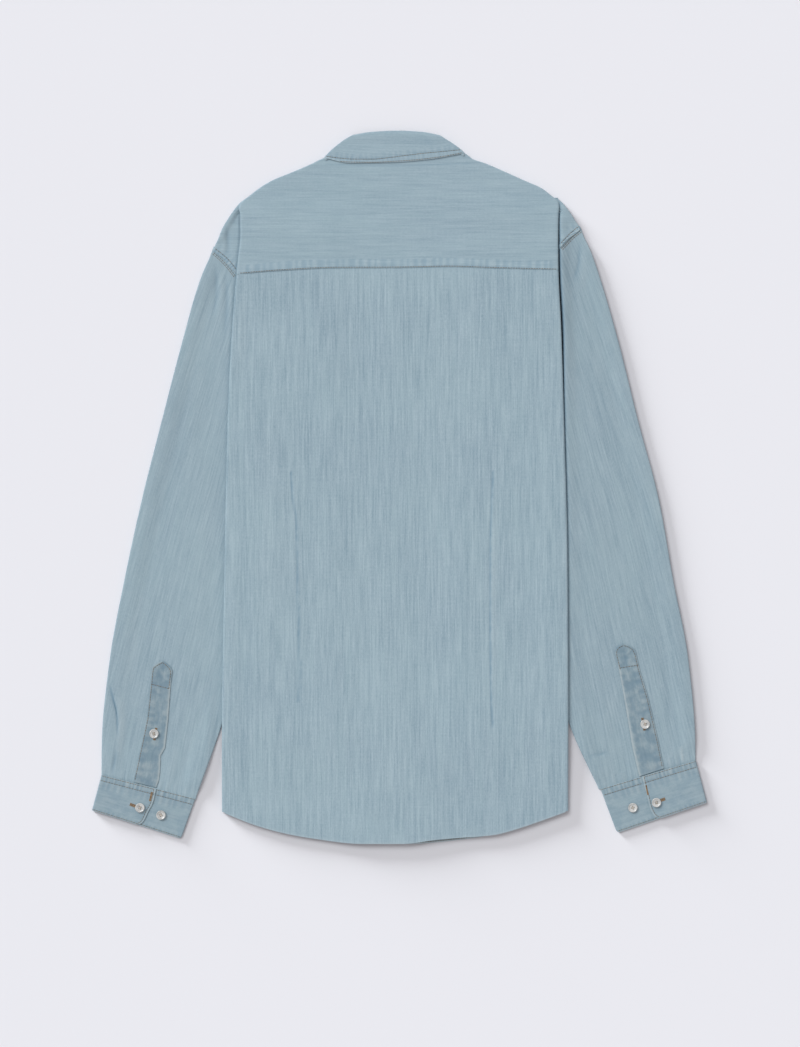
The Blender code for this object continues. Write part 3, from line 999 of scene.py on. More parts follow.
# The pattern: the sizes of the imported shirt

@dataclass(frozen=True)
class ShirtPattern:
    """Sizes that the pieces share, with heights of the middle of each layer above the table."""

    wall: float = 1.0
    floor_layer: float = 0.5
    layer_rise: float = 1.3
    sleeve_layer: float = 1.8
    front_radius: float = 0.8
    back_radius: float = 2.1
    sleeve_radius: float = 0.65
    centre_layer: float = 6.1
    neck_layer: float = 2.0
    tuck_layer: float = 3.4
    side_lift: float = 2.6
    lap_layers: tuple[float, float] = (3.2, 4.5)
    sides: Table = (   # height, fold and tuck end, left and right
        (-410.4, 204.0, 194.0, 126, 120), (-274, 204.0, 194.0, 122, 116), (-85, 201.0, 193.0, 112, 107),
        (75, 197.5, 189.0, 100, 95), (180, 192.5, 186.0, 137, 133), (249, 186.8, 182.8, 161, 158),
        (262, 185.5, 182.6, 165, 162), (290, 182.8, 182.5, 173, 170), (312, 183.0, 182.8, 179, 176),
        (320, 184.8, 183.6, 159, 158), (326, 182.0, 183.2, 144, 141), (333, 173.1, 175.4, 126, 125),
        (342, 161.6, 163.9, 107, 105), (351, 146.6, 143.6, 97, 94), (360.5, 123.6, 122.5, 94, 90),
        (371, 99.5, 98.0, 88, 82), (375.5, 90.5, 84.5, 82, 78), (378.5, 84.0, 80.8, 79, 75),
        (382.0, 80.0, 76.0, 76, 71),
    )
    hem: Table = (   # across, back, front
        (-204, -374.0, -372.0), (-166, -389.0, -387.0), (-134, -398.0, -396.0), (-102, -404.0, -402.0),
        (-43, -410.4, -408.4), (5, -410.4, -410.4), (22, -408.7, -410.3), (41, -405.8, -409.2),
        (60, -404.2, -407.2), (92, -402.0, -403.0), (109, -400.2, -398.6), (134, -393.8, -391.8),
        (159, -385.4, -383.4), (194, -372.8, -371.0),
    )
    yoke_seam: Points = (
        (-187, 243.5), (-140, 247.5), (-75, 250.6), (0, 251.0), (56, 252.0), (104, 250.5), (183, 248.5),
    )
    front_top: Points = (
        (-15, 278.8), (16, 280.0), (40, 284.5), (73, 315.0), (97, 342.5), (150, 322.0), (181, 306.0),
    )
    tips: Table = (   # height, left, right
        (243.5, 187.0, 165.0), (261, 200.0, 175.0), (273, 212.8, 182.5), (285, 208.2, 193.0),
        (297, 203.3, 207.0), (305.3, 198.4, 202.0), (314.5, 192.4, 196.1), (320, 188.4, 192.0),
        (326, 183.0, 187.0), (330, 178.0, 182.0),
    )
    sleeve_outer: Table = (   # height, left, right
        (297, 200.0, 206.5), (272, 213.6, 218.8), (237, 229.0, 231.0), (168, 249.0, 251.0),
        (76, 273.0, 274.0), (-15, 296.0, 298.0), (-107, 316.0, 314.5), (-199, 333.0, 332.0),
        (-291, 342.0, 340.0), (-333, 342.6, 340.6),
    )
    sleeve_inner: Table = (
        (75, 100.0, 95.0), (-100, 152.0, 146.5), (-274, 204.0, 195.5), (-360, 234.6, 235.0),
    )
    cap_bow: Table = (   # share, left, right
        (0.0, 0.0, 0.0), (0.12, 11.6, 15.5), (0.22, 16.0, 24.5), (0.45, 24.0, 28.0), (0.7, 18.0, 20.0),
        (1.0, 0.0, 0.0),
    )

    def fold(self, side: Side) -> Track:
        """Distance out to the side fold, by height."""
        return self.handed(self.sides, side)

    def tuck_end(self, side: Side) -> Track:
        """Distance out to where the tucked cloth ends, by height."""
        return track(self.sides, 3 if side is Side.LEFT else 4)

    def handed(self, rows: Table, side: Side) -> Track:
        """A table's left or right column, by its first one."""
        return track(rows, 1 if side is Side.LEFT else 2)

    def beside_fold(self, side: Side, out: Array, y: Array) -> Array:
        """How far the sleeve's cloth stands up where it is pushed against the side fold.

        Args:
            side: Which side.
            out: Distances out.
            y: Heights in plan.

        Returns:
            Extra heights above the table.
        """
        if side is Side.RIGHT:
            tall = Track((-380.0, -200.0, -60.0, 60.0, 130.0, 180.0, 258.0, 305.0, 326.0),
                         (0.0, 0.6, 1.4, 2.2, 3.4, 5.0, 5.0, 3.8, 0.8))
        else:
            tall = Track((-380.0, -60.0, 120.0, 180.0, 258.0, 305.0, 326.0),
                         (0.0, 0.1, 0.2, 0.35, 0.6, 0.7, 0.2))
        away = out - self.fold(side).at(y)
        return tall.at(y) * smooth((away - 0.9) / 1.5) * np.exp(-(np.maximum(away - 2.4, 0.0) / 9.0) ** 2)

    def fold_shade(self, side: Side, out: Array, y: Array) -> Array:
        """Paint shade on the cloth in the gap beside the side fold.

        Args:
            side: Which side.
            out: Distances out.
            y: Heights in plan.

        Returns:
            Painted shade as wear values, 0 or below.
        """
        away = out - self.fold(side).at(y)
        if side is Side.RIGHT:
            places = (-300.0, -60.0, 100.0, 180.0, 258.0, 300.0, 322.0)
            deep = Track(places, (0.0, 0.7, 1.6, 2.8, 2.8, 1.8, 0.5)).at(y)
            reach = Track((-100.0, 120.0, 190.0, 250.0, 312.0), (1.1, 1.5, 2.3, 1.8, 1.2)).at(y)
        else:
            deep = Track((-300.0, 100.0, 250.0, 322.0), (0.0, 0.1, 0.3, 0.1)).at(y)
            reach = 1.25
        return -deep * np.exp(-((away - 0.7) / reach) ** 2)

    def side_layer(self, y: Array) -> Array:
        """Height of the fronts over the tucked cloth."""
        lift = self.side_lift * (1 - smooth((-275.0 - y) / 95.0))
        return mix(self.tuck_layer + lift, self.centre_layer - self.layer_rise, smooth((y - 312.0) / 30.0))

    def cover_layer(self, x: Array, y: Array) -> Array:
        """Work out where the back and yoke lie.

        Args:
            x: Places across.
            y: Places up.

        Returns:
            Heights above the table.
        """
        high = self.side_layer(y) + self.layer_rise
        total = np.zeros_like(y)
        for side in Side:
            end = self.tuck_end(side)
            inner = np.minimum(end.at(y), end.at(0.0)) - 15
            share = smooth((np.abs(x) - 30) / (inner - 30))
            total = np.where(np.sign(x) == side.value, mix(self.centre_layer, high, share), total)
        return np.where(x == 0, self.centre_layer, total)


@dataclass
class Workroom:
    """What every sub-assembly works with, and the pieces made so far."""

    pattern: ShirtPattern
    finishes: Wardrobe
    cloth: float = 0.85
    made: dict[str, Item] = field(default_factory=dict)

    def keep(self, item: Item, nodes: Sequence[str], slot: str) -> Item:
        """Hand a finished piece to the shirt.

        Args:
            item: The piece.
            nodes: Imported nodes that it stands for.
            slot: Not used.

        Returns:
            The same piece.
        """
        if nodes:
            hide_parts(*nodes)
        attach(item, BODY)
        self.made[item.name] = item
        LOG.info("%s: %d faces", item.name, len(item.data.polygons))
        return item


@dataclass
class CoverColumns:
    """How a body section is cut into columns: along a tuck, round a fold, over the top and back."""

    tuck: Array
    turn: Array
    top: Array

    def __len__(self) -> int:
        """Number of columns."""
        return 2 * (len(self.tuck) + len(self.turn)) + len(self.top)


@dataclass
class Body:
    """The back, the yoke with its tips, and the two fronts."""

    room: Workroom
    left_dart: Points = ((-125, 17), (-123, -12), (-119, -36), (-117, -125), (-115, -217), (-116, -245))
    right_dart: Points = ((107, 17), (104, -78), (104, -158), (105, -249), (107, -274))
    neck: Points = ((-84, 377.6), (-70, 375.4), (-45, 373.0), (0, 373.2), (43, 377.0), (72, 381.6))
    top_ends: tuple[float, float] = (-188.0, 184.0)
    back_length: float = 655.0
    front_length: float = 700.0
    tuck_slope: float = 0.33
    seam_drop: float = 0.35
    seam_lap: float = 5.0
    seam_swell: float = 0.7
    hem_rub: float = 0.35
    tip_top: float = 327.0
    tip_reach: float = 2.2
    tip_lift: float = 1.0
    tip_crest: float = 1.5
    tip_under: float = 9.0

    def folded_edge(
        self, side: Side, y: Array, radius: float, turn: Array, runs: Array
    ) -> tuple[Array, Array, Array]:
        """From the top of a side fold, round it and along the tucked cloth.

        Args:
            side: Which side.
            y: Heights, with a column for each turn and then each run.
            radius: Radius of the fold.
            turn: Angles round the fold in degrees.
            runs: Shares of the way along the tuck.

        Returns:
            Distance out, height and length of tuck passed.
        """
        pattern = self.room.pattern
        centre = pattern.fold(side).at(y) - pattern.back_radius - pattern.wall / 2
        level = pattern.side_layer(y) - pattern.front_radius
        end = pattern.tuck_end(side).at(y)
        count = len(turn)
        out = mix(centre, end, np.concatenate([np.zeros(count), runs]))
        up = level - radius
        angle = np.radians(turn)
        out[:, :count] = centre[:, :count] + radius * np.cos(angle)
        up[:, :count] = level[:, :count] + radius * np.sin(angle)
        tuck = np.maximum(centre - out, 0.0) + 0.01
        tuck[:, :count] = 0.01
        return out, up, tuck

    def cover(self, y: Array, columns: CoverColumns) -> tuple[Array, Array, Array]:
        """Points of the back or yoke at some heights.

        Args:
            y: Heights, a row for each row and a column for each of the columns.
            columns: How the section is cut.

        Returns:
            Places across, heights and lengths of tuck passed.
        """
        pattern = self.room.pattern
        edge = len(columns.turn) + len(columns.tuck)
        radius, turn, runs = pattern.back_radius, columns.turn, columns.tuck
        left = self.folded_edge(Side.LEFT, y[:, :edge][:, ::-1], radius, turn, runs)
        right = self.folded_edge(Side.RIGHT, y[:, -edge:], radius, turn, runs)
        middle = y[:, edge:-edge]
        low = -(pattern.fold(Side.LEFT).at(middle) - pattern.back_radius - pattern.wall / 2)
        high = pattern.fold(Side.RIGHT).at(middle) - pattern.back_radius - pattern.wall / 2
        across = mix(low, high, columns.top)
        x = np.concatenate([-left[0][:, ::-1], across, right[0]], axis=1)
        z = np.concatenate([left[1][:, ::-1], pattern.cover_layer(across, middle), right[1]], axis=1)
        tuck = np.concatenate([left[2][:, ::-1], np.zeros_like(across), right[2]], axis=1)
        return x, z, tuck

    def top_columns(self, step: float, fine: Sequence[tuple[float, float, float]]) -> Array:
        """Shares of the way over the top, closer together at the folds and darts."""
        left, right = self.top_ends
        spots = graded(left, right, step, [(left, 4.0, 1.3), (right, 4.0, 1.3), *fine])
        return ((spots - left) / (right - left))[1:-1]

    def over_folds(self, x: Array, y: Array, tuck: Array) -> Array:
        """Tell the top of the shirt from what is folded under.

        Args:
            x: Places across.
            y: Places up.
            tuck: Lengths of tuck passed.

        Returns:
            1 on the top, fading out at the side folds.
        """
        pattern = self.room.pattern
        left = pattern.fold(Side.LEFT).at(y)
        right = pattern.fold(Side.RIGHT).at(y)
        room = np.where(x < 0, left + x, right - x)
        return np.where(tuck > 0, 0.0, smooth((room - 2.6) / 9.0))

    def hem_height(self, x: Array, tuck: Array, column: int) -> Array:
        """Work out a hem's height in plan, which rises along the tucked cloth.

        Args:
            x: Places across.
            tuck: Lengths of tuck passed.
            column: The hem's column in its table.

        Returns:
            Heights in plan.
        """
        pattern = self.room.pattern
        hem = track(pattern.hem, column)
        left = -float(pattern.fold(Side.LEFT).at(-370.0))
        right = float(pattern.fold(Side.RIGHT).at(-370.0))
        spot = np.where(tuck > 0, np.where(x < 0, left, right), x)
        return hem.at(spot) + self.tuck_slope * np.maximum(tuck, 0.0)

    def seam_height(self, x: Array, tuck: Array) -> Array:
        """Height of the yoke's seam."""
        seam = track(self.room.pattern.yoke_seam, 1)
        return seam.at(np.where(tuck > 0, np.where(x < 0, seam.places[0], seam.places[-1]), x))

    def make_back(self) -> Item:
        """The back panel, with its darts and the marks of the sleeves' seams beneath.

        Returns:
            The piece.
        """
        fine = [(-119.0, 5.0, 1.3), (105.0, 5.0, 1.3)]
        columns = CoverColumns(
            np.linspace(0.0, 1.0, 15)[1:], np.linspace(90.0, -90.0, 11), self.top_columns(3.6, fine)
        )
        long = self.back_length
        share = graded(0.0, 1.0, 3.8 / long, [(1.0, 0.012, 1.4 / long), (0.0, 0.004, 2.0 / long)])
        flat = np.zeros((1, len(columns)))
        low_x, _, low_tuck = self.cover(flat - 400.0, columns)
        top_x, _, top_tuck = self.cover(flat + 249.0, columns)
        low = self.hem_height(low_x, low_tuck, 1)
        high = self.seam_height(top_x, top_tuck) - 0.3
        y = low + (high - low) * share[:, None]
        x, z, tuck = self.cover(y, columns)
        showing = self.over_folds(x, y, tuck)
        under = smooth((share - 0.985) / 0.015)[:, None] * showing
        z = z - self.seam_drop * under
        y = y + self.seam_lap * smooth((share - 0.98) / 0.02)[:, None] * showing
        grain = np.stack([np.where(tuck > 0, np.sign(x) * (np.abs(x) + 2 * tuck), x), y], axis=-1)
        sheet = ClothSheet(np.stack([x, y, z], axis=-1), grain, showing)
        left, right = curve_through(self.left_dart, 3.0), curve_through(self.right_dart, 3.0)
        forms: list[Form] = [
            SeamDent(left, 0.50, 1.25, -0.92), SeamDent(right, 0.50, 1.25, -0.92),
            # The tints of these creases paint highlight along ridges and shade along troughs.
            Crease([(-122, 18), (-116, -120), (-113, -245)], 0.25, 4.0, 0.18),
            Crease([(109, 20), (107, -100), (108, -270)], 0.25, 4.0, 0.18),
            Pucker(left, -0.4, 1.6, 5.0, 0.10, 0.30, 1.0, 0.4),
            Pucker(right, -0.4, 1.6, 5.0, 0.10, 0.30, 2.0, 0.4),
            Crease([(-60, 238), (-52, 150), (-58, 40)], -0.35, 18.0, -0.04),
            Crease([(40, 235), (52, 120), (44, -20)], 0.35, 20.0, 0.04),
            Crease([(-150, 120), (-145, -40), (-152, -200)], 0.35, 22.0, 0.05),
            Crease([(150, 90), (146, -60), (152, -240)], -0.35, 20.0, -0.05),
            Crease([(-20, -120), (-8, -240), (-18, -380)], 0.4, 24.0, 0.04),
            Crease([(60, -180), (66, -280), (58, -385)], -0.35, 22.0, -0.04),
            Crease([(-178, -60), (-176, -180), (-180, -330)], -0.3, 9.0, -0.08),
            Crease([(-186, 236), (-183, 190), (-186, 130)], 0.45, 5.0, 0.15),
        ]
        sheet.press(forms)
        sheet.points[..., 2] += ripple(x, y, 150.0, 0.22, 5, 2.2) * showing
        hem_edge = np.exp(-(share * long / 1.6) ** 2)[:, None]
        sheet.wear += hem_edge * self.hem_rub * showing
        item = sheet.build("back_panel", self.room.cloth, self.room.finishes.denim)
        self.room.keep(item, ["back"], "denim")
        return item

    def tip_patch(self, side: Side, inner_rows: Array) -> Array:
        """The yoke past its pleat, out over the sleeve's end and round its edge.

        Args:
            side: Which side.
            inner_rows: Points where the pleat starts, a row for each height.

        Returns:
            Rows of points.
        """
        pattern = self.room.pattern
        x, y, z = inner_rows[:, :1], inner_rows[:, 1:2], inner_rows[:, 2:3]
        radius = pattern.sleeve_radius
        edge = pattern.handed(pattern.tips, side).at(y)
        corner, spring_start = (272.0, 276.0) if side is Side.LEFT else (296.0, 300.0)
        reach = self.tip_reach * smooth((y - 244.0) / 8.0) * (1 - smooth((y - corner) / 2.0))
        outer = edge + reach - radius - pattern.wall / 2
        lift = self.tip_lift * smooth((y - 243.0) / 6.0)
        start = np.radians(np.linspace(90.0, 270.0, 7))
        out = [np.abs(x) + radius * np.cos(start)]
        up = [z - radius + radius * np.sin(start)]
        run = np.linspace(0.0, 1.0, 34)[1:-1]
        along = mix(np.abs(x), outer, run)
        over = smooth((along - np.abs(x)) / np.maximum(outer - np.abs(x), 1e-6) * 2.2 - 1.0)
        out.append(along)
        crest = self.tip_crest * smooth((y - spring_start) / 12.0)
        spring = crest * smooth((along - outer + self.tip_under) / 7.0)
        up.append(pattern.sleeve_layer + lift * over + pattern.beside_fold(side, along, y) + spring)
        stop = np.radians(np.linspace(90.0, -90.0, 7))
        rim = pattern.beside_fold(side, outer, y) + crest
        half = (pattern.sleeve_layer + lift + rim - pattern.floor_layer) / 2
        out.append(outer + radius * np.cos(stop))
        up.append(pattern.floor_layer + half + half * np.sin(stop))
        out.append(np.maximum(outer - self.tip_under, np.abs(x)))
        up.append(np.full_like(y, pattern.floor_layer))
        outs, ups = np.concatenate(out, axis=1), np.concatenate(up, axis=1)
        return np.stack([side.value * outs, np.broadcast_to(y, outs.shape), ups], axis=-1)

    def armhole(self, side: Side) -> list[Array]:
        """Draw the rows sewn along an armhole's seam.

        Args:
            side: Which side.

        Returns:
            The rows, the upper one first.
        """
        if side is Side.LEFT:
            upper = ((-211.6, 273.2), (-200.8, 264.6), (-193, 256.6), (-187.8, 249.6))
            lower = ((-213.8, 268.8), (-204, 260.2), (-195, 250.2), (-188.4, 241.6))
        else:
            upper = ((205.4, 298.4), (197, 291.6), (185.2, 279.1))
            lower = ((208.2, 294.2), (198.4, 286.4), (185.5, 272.5))
        first, second = curve_through(upper), curve_through(lower)
        return [first, second, beside(second, 1.9 * side.value)]

    def make_yoke(self) -> Item:
        """The yoke, its pleats and its tips, gathered along the seams.

        Returns:
            The piece.
        """
        pattern = self.room.pattern
        columns = CoverColumns(
            np.linspace(0.0, 1.0, 11)[1:], np.linspace(90.0, -90.0, 9), self.top_columns(2.1, [])
        )
        flat = np.zeros((1, len(columns)))
        last_x, _, last_tuck = self.cover(flat + 376.0, columns)
        first_x, _, first_tuck = self.cover(flat + 249.0, columns)
        low = self.seam_height(first_x, first_tuck)
        neck_track = track(self.neck, 1)
        neck = neck_track.at(np.where(last_tuck > 0, np.sign(last_x) * 90.0, last_x))
        heights = graded(243.5, 377.0, 2.6, [(250.0, 12.0, 1.3), (272.0, 14.0, 1.7), (374.0, 5.0, 1.2)])
        share = (heights - heights[0]) / (heights[-1] - heights[0])
        y = low + (neck - low) * share[:, None]
        x, z, tuck = self.cover(y, columns)
        showing = self.over_folds(x, y, tuck)
        z = z + self.seam_swell * (1 - smooth((y - low - 2.0) / 9.0)) * showing
        body = np.stack([x, y, z], axis=-1)
        count = int((heights <= self.tip_top).sum())
        left = self.tip_patch(Side.LEFT, body[:count, 0])
        right = self.tip_patch(Side.RIGHT, body[:count, -1])
        visible = np.ones(left.shape[:2])
        parts = [(left[:, ::-1], visible), (body, showing), (right, visible.copy())]
        sheets = [
            ClothSheet(part, turned_grain(part[..., 0], part[..., 1], 90.0), shown)
            for part, shown in parts
        ]
        seam = curve_through(pattern.yoke_seam, 2.0)
        forms: list[Form] = [
            Pucker(seam, 1.4, 9.5, 9.2, 0.20, 0.42, 0.6, 0.35),
            SeamDent(beside(seam, 0.8), 0.20, 0.8, -0.4),
            # The tints of these creases paint highlight along ridges and shade along troughs.
            Crease([(-110, 340), (-60, 300), (-40, 262)], -0.35, 16.0, -0.04),
            Crease([(20, 352), (90, 318), (160, 290)], 0.35, 18.0, 0.04),
            Crease([(-170, 300), (-120, 290), (-70, 296)], 0.3, 14.0, 0.04),
        ]
        neck_line = curve_through([(-84, 370), (-45, 368.5), (0, 368.2), (42, 369.5), (80, 371)], 2.0)
        forms.append(SeamDent(neck_line, 0.1, 1.0, -0.4))
        sheets[1].press(forms)
        sheets[1].points[..., 2] += ripple(x, y, 110.0, 0.15, 9, 0.5) * showing
        for side, sheet in ((Side.LEFT, sheets[0]), (Side.RIGHT, sheets[2])):
            top = np.clip((sheet.points[..., 2] - 1.3) / 0.5, 0.0, 1.0)
            sheet.showing = top
            side_out = np.abs(sheet.points[..., 0])
            # Painted shade in the gap beside the side fold, on the tip's upper face.
            sheet.wear = pattern.fold_shade(side, side_out, sheet.points[..., 1]) * top
            upper, lower, _ = self.armhole(side)
            between = upper if side is Side.LEFT else upper[::-1]
            forms = [
                SeamDent(upper, 0.22, 0.8, -0.5), SeamDent(lower, 0.22, 0.8, -0.5),
                Pucker(between, -5.0, 0.0, 3.8, 0.16, 1.0, 1.3, 0.35 if side is Side.LEFT else 0.9),
                Pucker(between, 0.5, 6.0, 7.0, 0.12, 0.3, 2.3, 0.5),
                # The tints of these creases paint a shade line in the trough and a highlight line on the
                # ridge.
                Crease([(-200, 303), (-196.5, 285), (-197, 262)], -0.7, 2.6, -0.35),
                Crease([(-203, 298), (-201, 284), (-202, 268)], 0.5, 2.6, 0.12),
            ]
            sheet.press(forms)
        items = [
            sheet.build(f"yoke_part_{index}", self.room.cloth, self.room.finishes.denim_cross)
            for index, sheet in enumerate(sheets)
        ]
        yoke = items[1]
        join_into(yoke, items)
        yoke.name = "yoke_panel"
        self.room.keep(yoke, ["yoke"], "denim")
        return yoke

    def front_section(self, side: Side, y: Array, spots: dict[str, Array]) -> tuple[Array, Array, Array]:
        """Points of a front at some heights.

        Args:
            side: Which side.
            y: Heights, rows by columns.
            spots: Shares of the way along each stretch of the section.

        Returns:
            Distances out, heights and lengths of tuck passed.
        """
        pattern = self.room.pattern
        held = np.minimum(y, 312.0)
        middle = mix(pattern.floor_layer, pattern.neck_layer, smooth((y - 160.0) / 55.0))
        closed = pattern.lap_layers[0 if side is Side.LEFT else 1]
        tucked = pattern.side_layer(held)
        end = pattern.tuck_end(side).at(held)
        fold = pattern.fold(side).at(held) - pattern.back_radius - pattern.wall / 2
        band, slope = 15.0, end - 40
        stretches = (   # name, where it starts and stops, height at its start and stop
            ("lap", -band, band, closed, closed),
            ("step", band, 40.0, closed, middle),
            ("flat", 40.0, slope, middle, middle),
            ("rise", slope, end - 4, middle, tucked),
            ("over", end - 4, fold, tucked, tucked),
        )
        outs, ups = [], []
        column = 0
        for name, *ends in stretches:
            share = spots[name]
            part = slice(column, column + len(share))
            column += len(share)
            start, stop, low, high = (np.broadcast_to(value, y.shape)[:, part] for value in ends)
            outs.append(mix(start, stop, share))
            ups.append(mix(low, high, smooth(share)))
        edge = self.folded_edge(side, held[:, column:], pattern.front_radius, spots["turn"], spots["tuck"])
        tuck = np.concatenate([np.zeros((len(y), column)), edge[2]], axis=1)
        return np.concatenate([*outs, edge[0]], axis=1), np.concatenate([*ups, edge[1]], axis=1), tuck

    def make_front(self, side: Side) -> Item:
        """One front, face down, with the marks of its button band.

        Args:
            side: Which side.

        Returns:
            The piece.
        """
        pattern = self.room.pattern
        spots = {
            "lap": np.linspace(0.0, 1.0, 11),
            "step": np.linspace(0.0, 1.0, 10)[1:],
            "flat": np.linspace(0.0, 1.0, 7)[1:],
            "rise": np.linspace(0.0, 1.0, 12)[1:],
            "over": np.linspace(0.0, 1.0, 14)[1:-1],
            "turn": np.linspace(90.0, -90.0, 7),
            "tuck": np.linspace(0.0, 1.0, 16)[1:],
        }
        width = sum(len(share) for share in spots.values())
        flat = np.zeros((1, width))
        low_out, _, low_tuck = self.front_section(side, flat - 400.0, spots)
        top_out, _, top_tuck = self.front_section(side, flat + 312.0, spots)
        low = self.hem_height(side.value * low_out, low_tuck, 2)
        top = np.where(top_tuck > 0, 303.0, track(pattern.front_top, 1).at(top_out))
        long = self.front_length
        share = graded(0.0, 1.0, 4.6 / long, [(0.0, 0.012, 1.6 / long)])
        y = low + (top - low) * share[:, None]
        out, z, tuck = self.front_section(side, y, spots)
        x = side.value * out
        grain = np.stack([np.where(tuck > 0, side.value * (out + 2 * tuck), x), y], axis=-1)
        sheet = ClothSheet(np.stack([x, y, z], axis=-1), grain, np.where(tuck > 0, 0.0, 1.0))
        band = np.array([[side.value * 15.0, -400.0], [side.value * 15.0, 270.0]])
        v = side.value
        sheet.press([
            SeamDent(band, 0.15, 1.0, -0.4),
            # The tints of these creases paint faint shade along them.
            Crease([(v * 62, 150), (v * 56, 20), (v * 66, -120)], 0.7, 11.0, -0.08),
            Crease([(v * 84, 40), (v * 78, -110), (v * 88, -260)], 0.6, 9.0, -0.06),
            Crease([(v * 58, -150), (v * 64, -260), (v * 52, -380)], 0.8, 12.0, -0.08),
            Crease([(v * 60, 250), (v * 78, 215), (v * 100, 200)], 0.6, 7.0, -0.10),
        ])
        # Rubbed pale hem edge, made paler still as painted highlight where the back's edge shades it.
        sheet.wear += np.exp(-(share * long / 3.6) ** 2)[:, None]
        name = f"front_panel_{side.label}"
        item = sheet.build(name, self.room.cloth, self.room.finishes.denim)
        self.room.keep(item, [f"front_{side.label}"], "denim")
        return item


@dataclass(frozen=True)
class SleevePlan:
    """Ends of a sleeve and the creases on it."""

    top: float
    end_outer: float
    end_inner: float
    creases: tuple[Crease, ...]


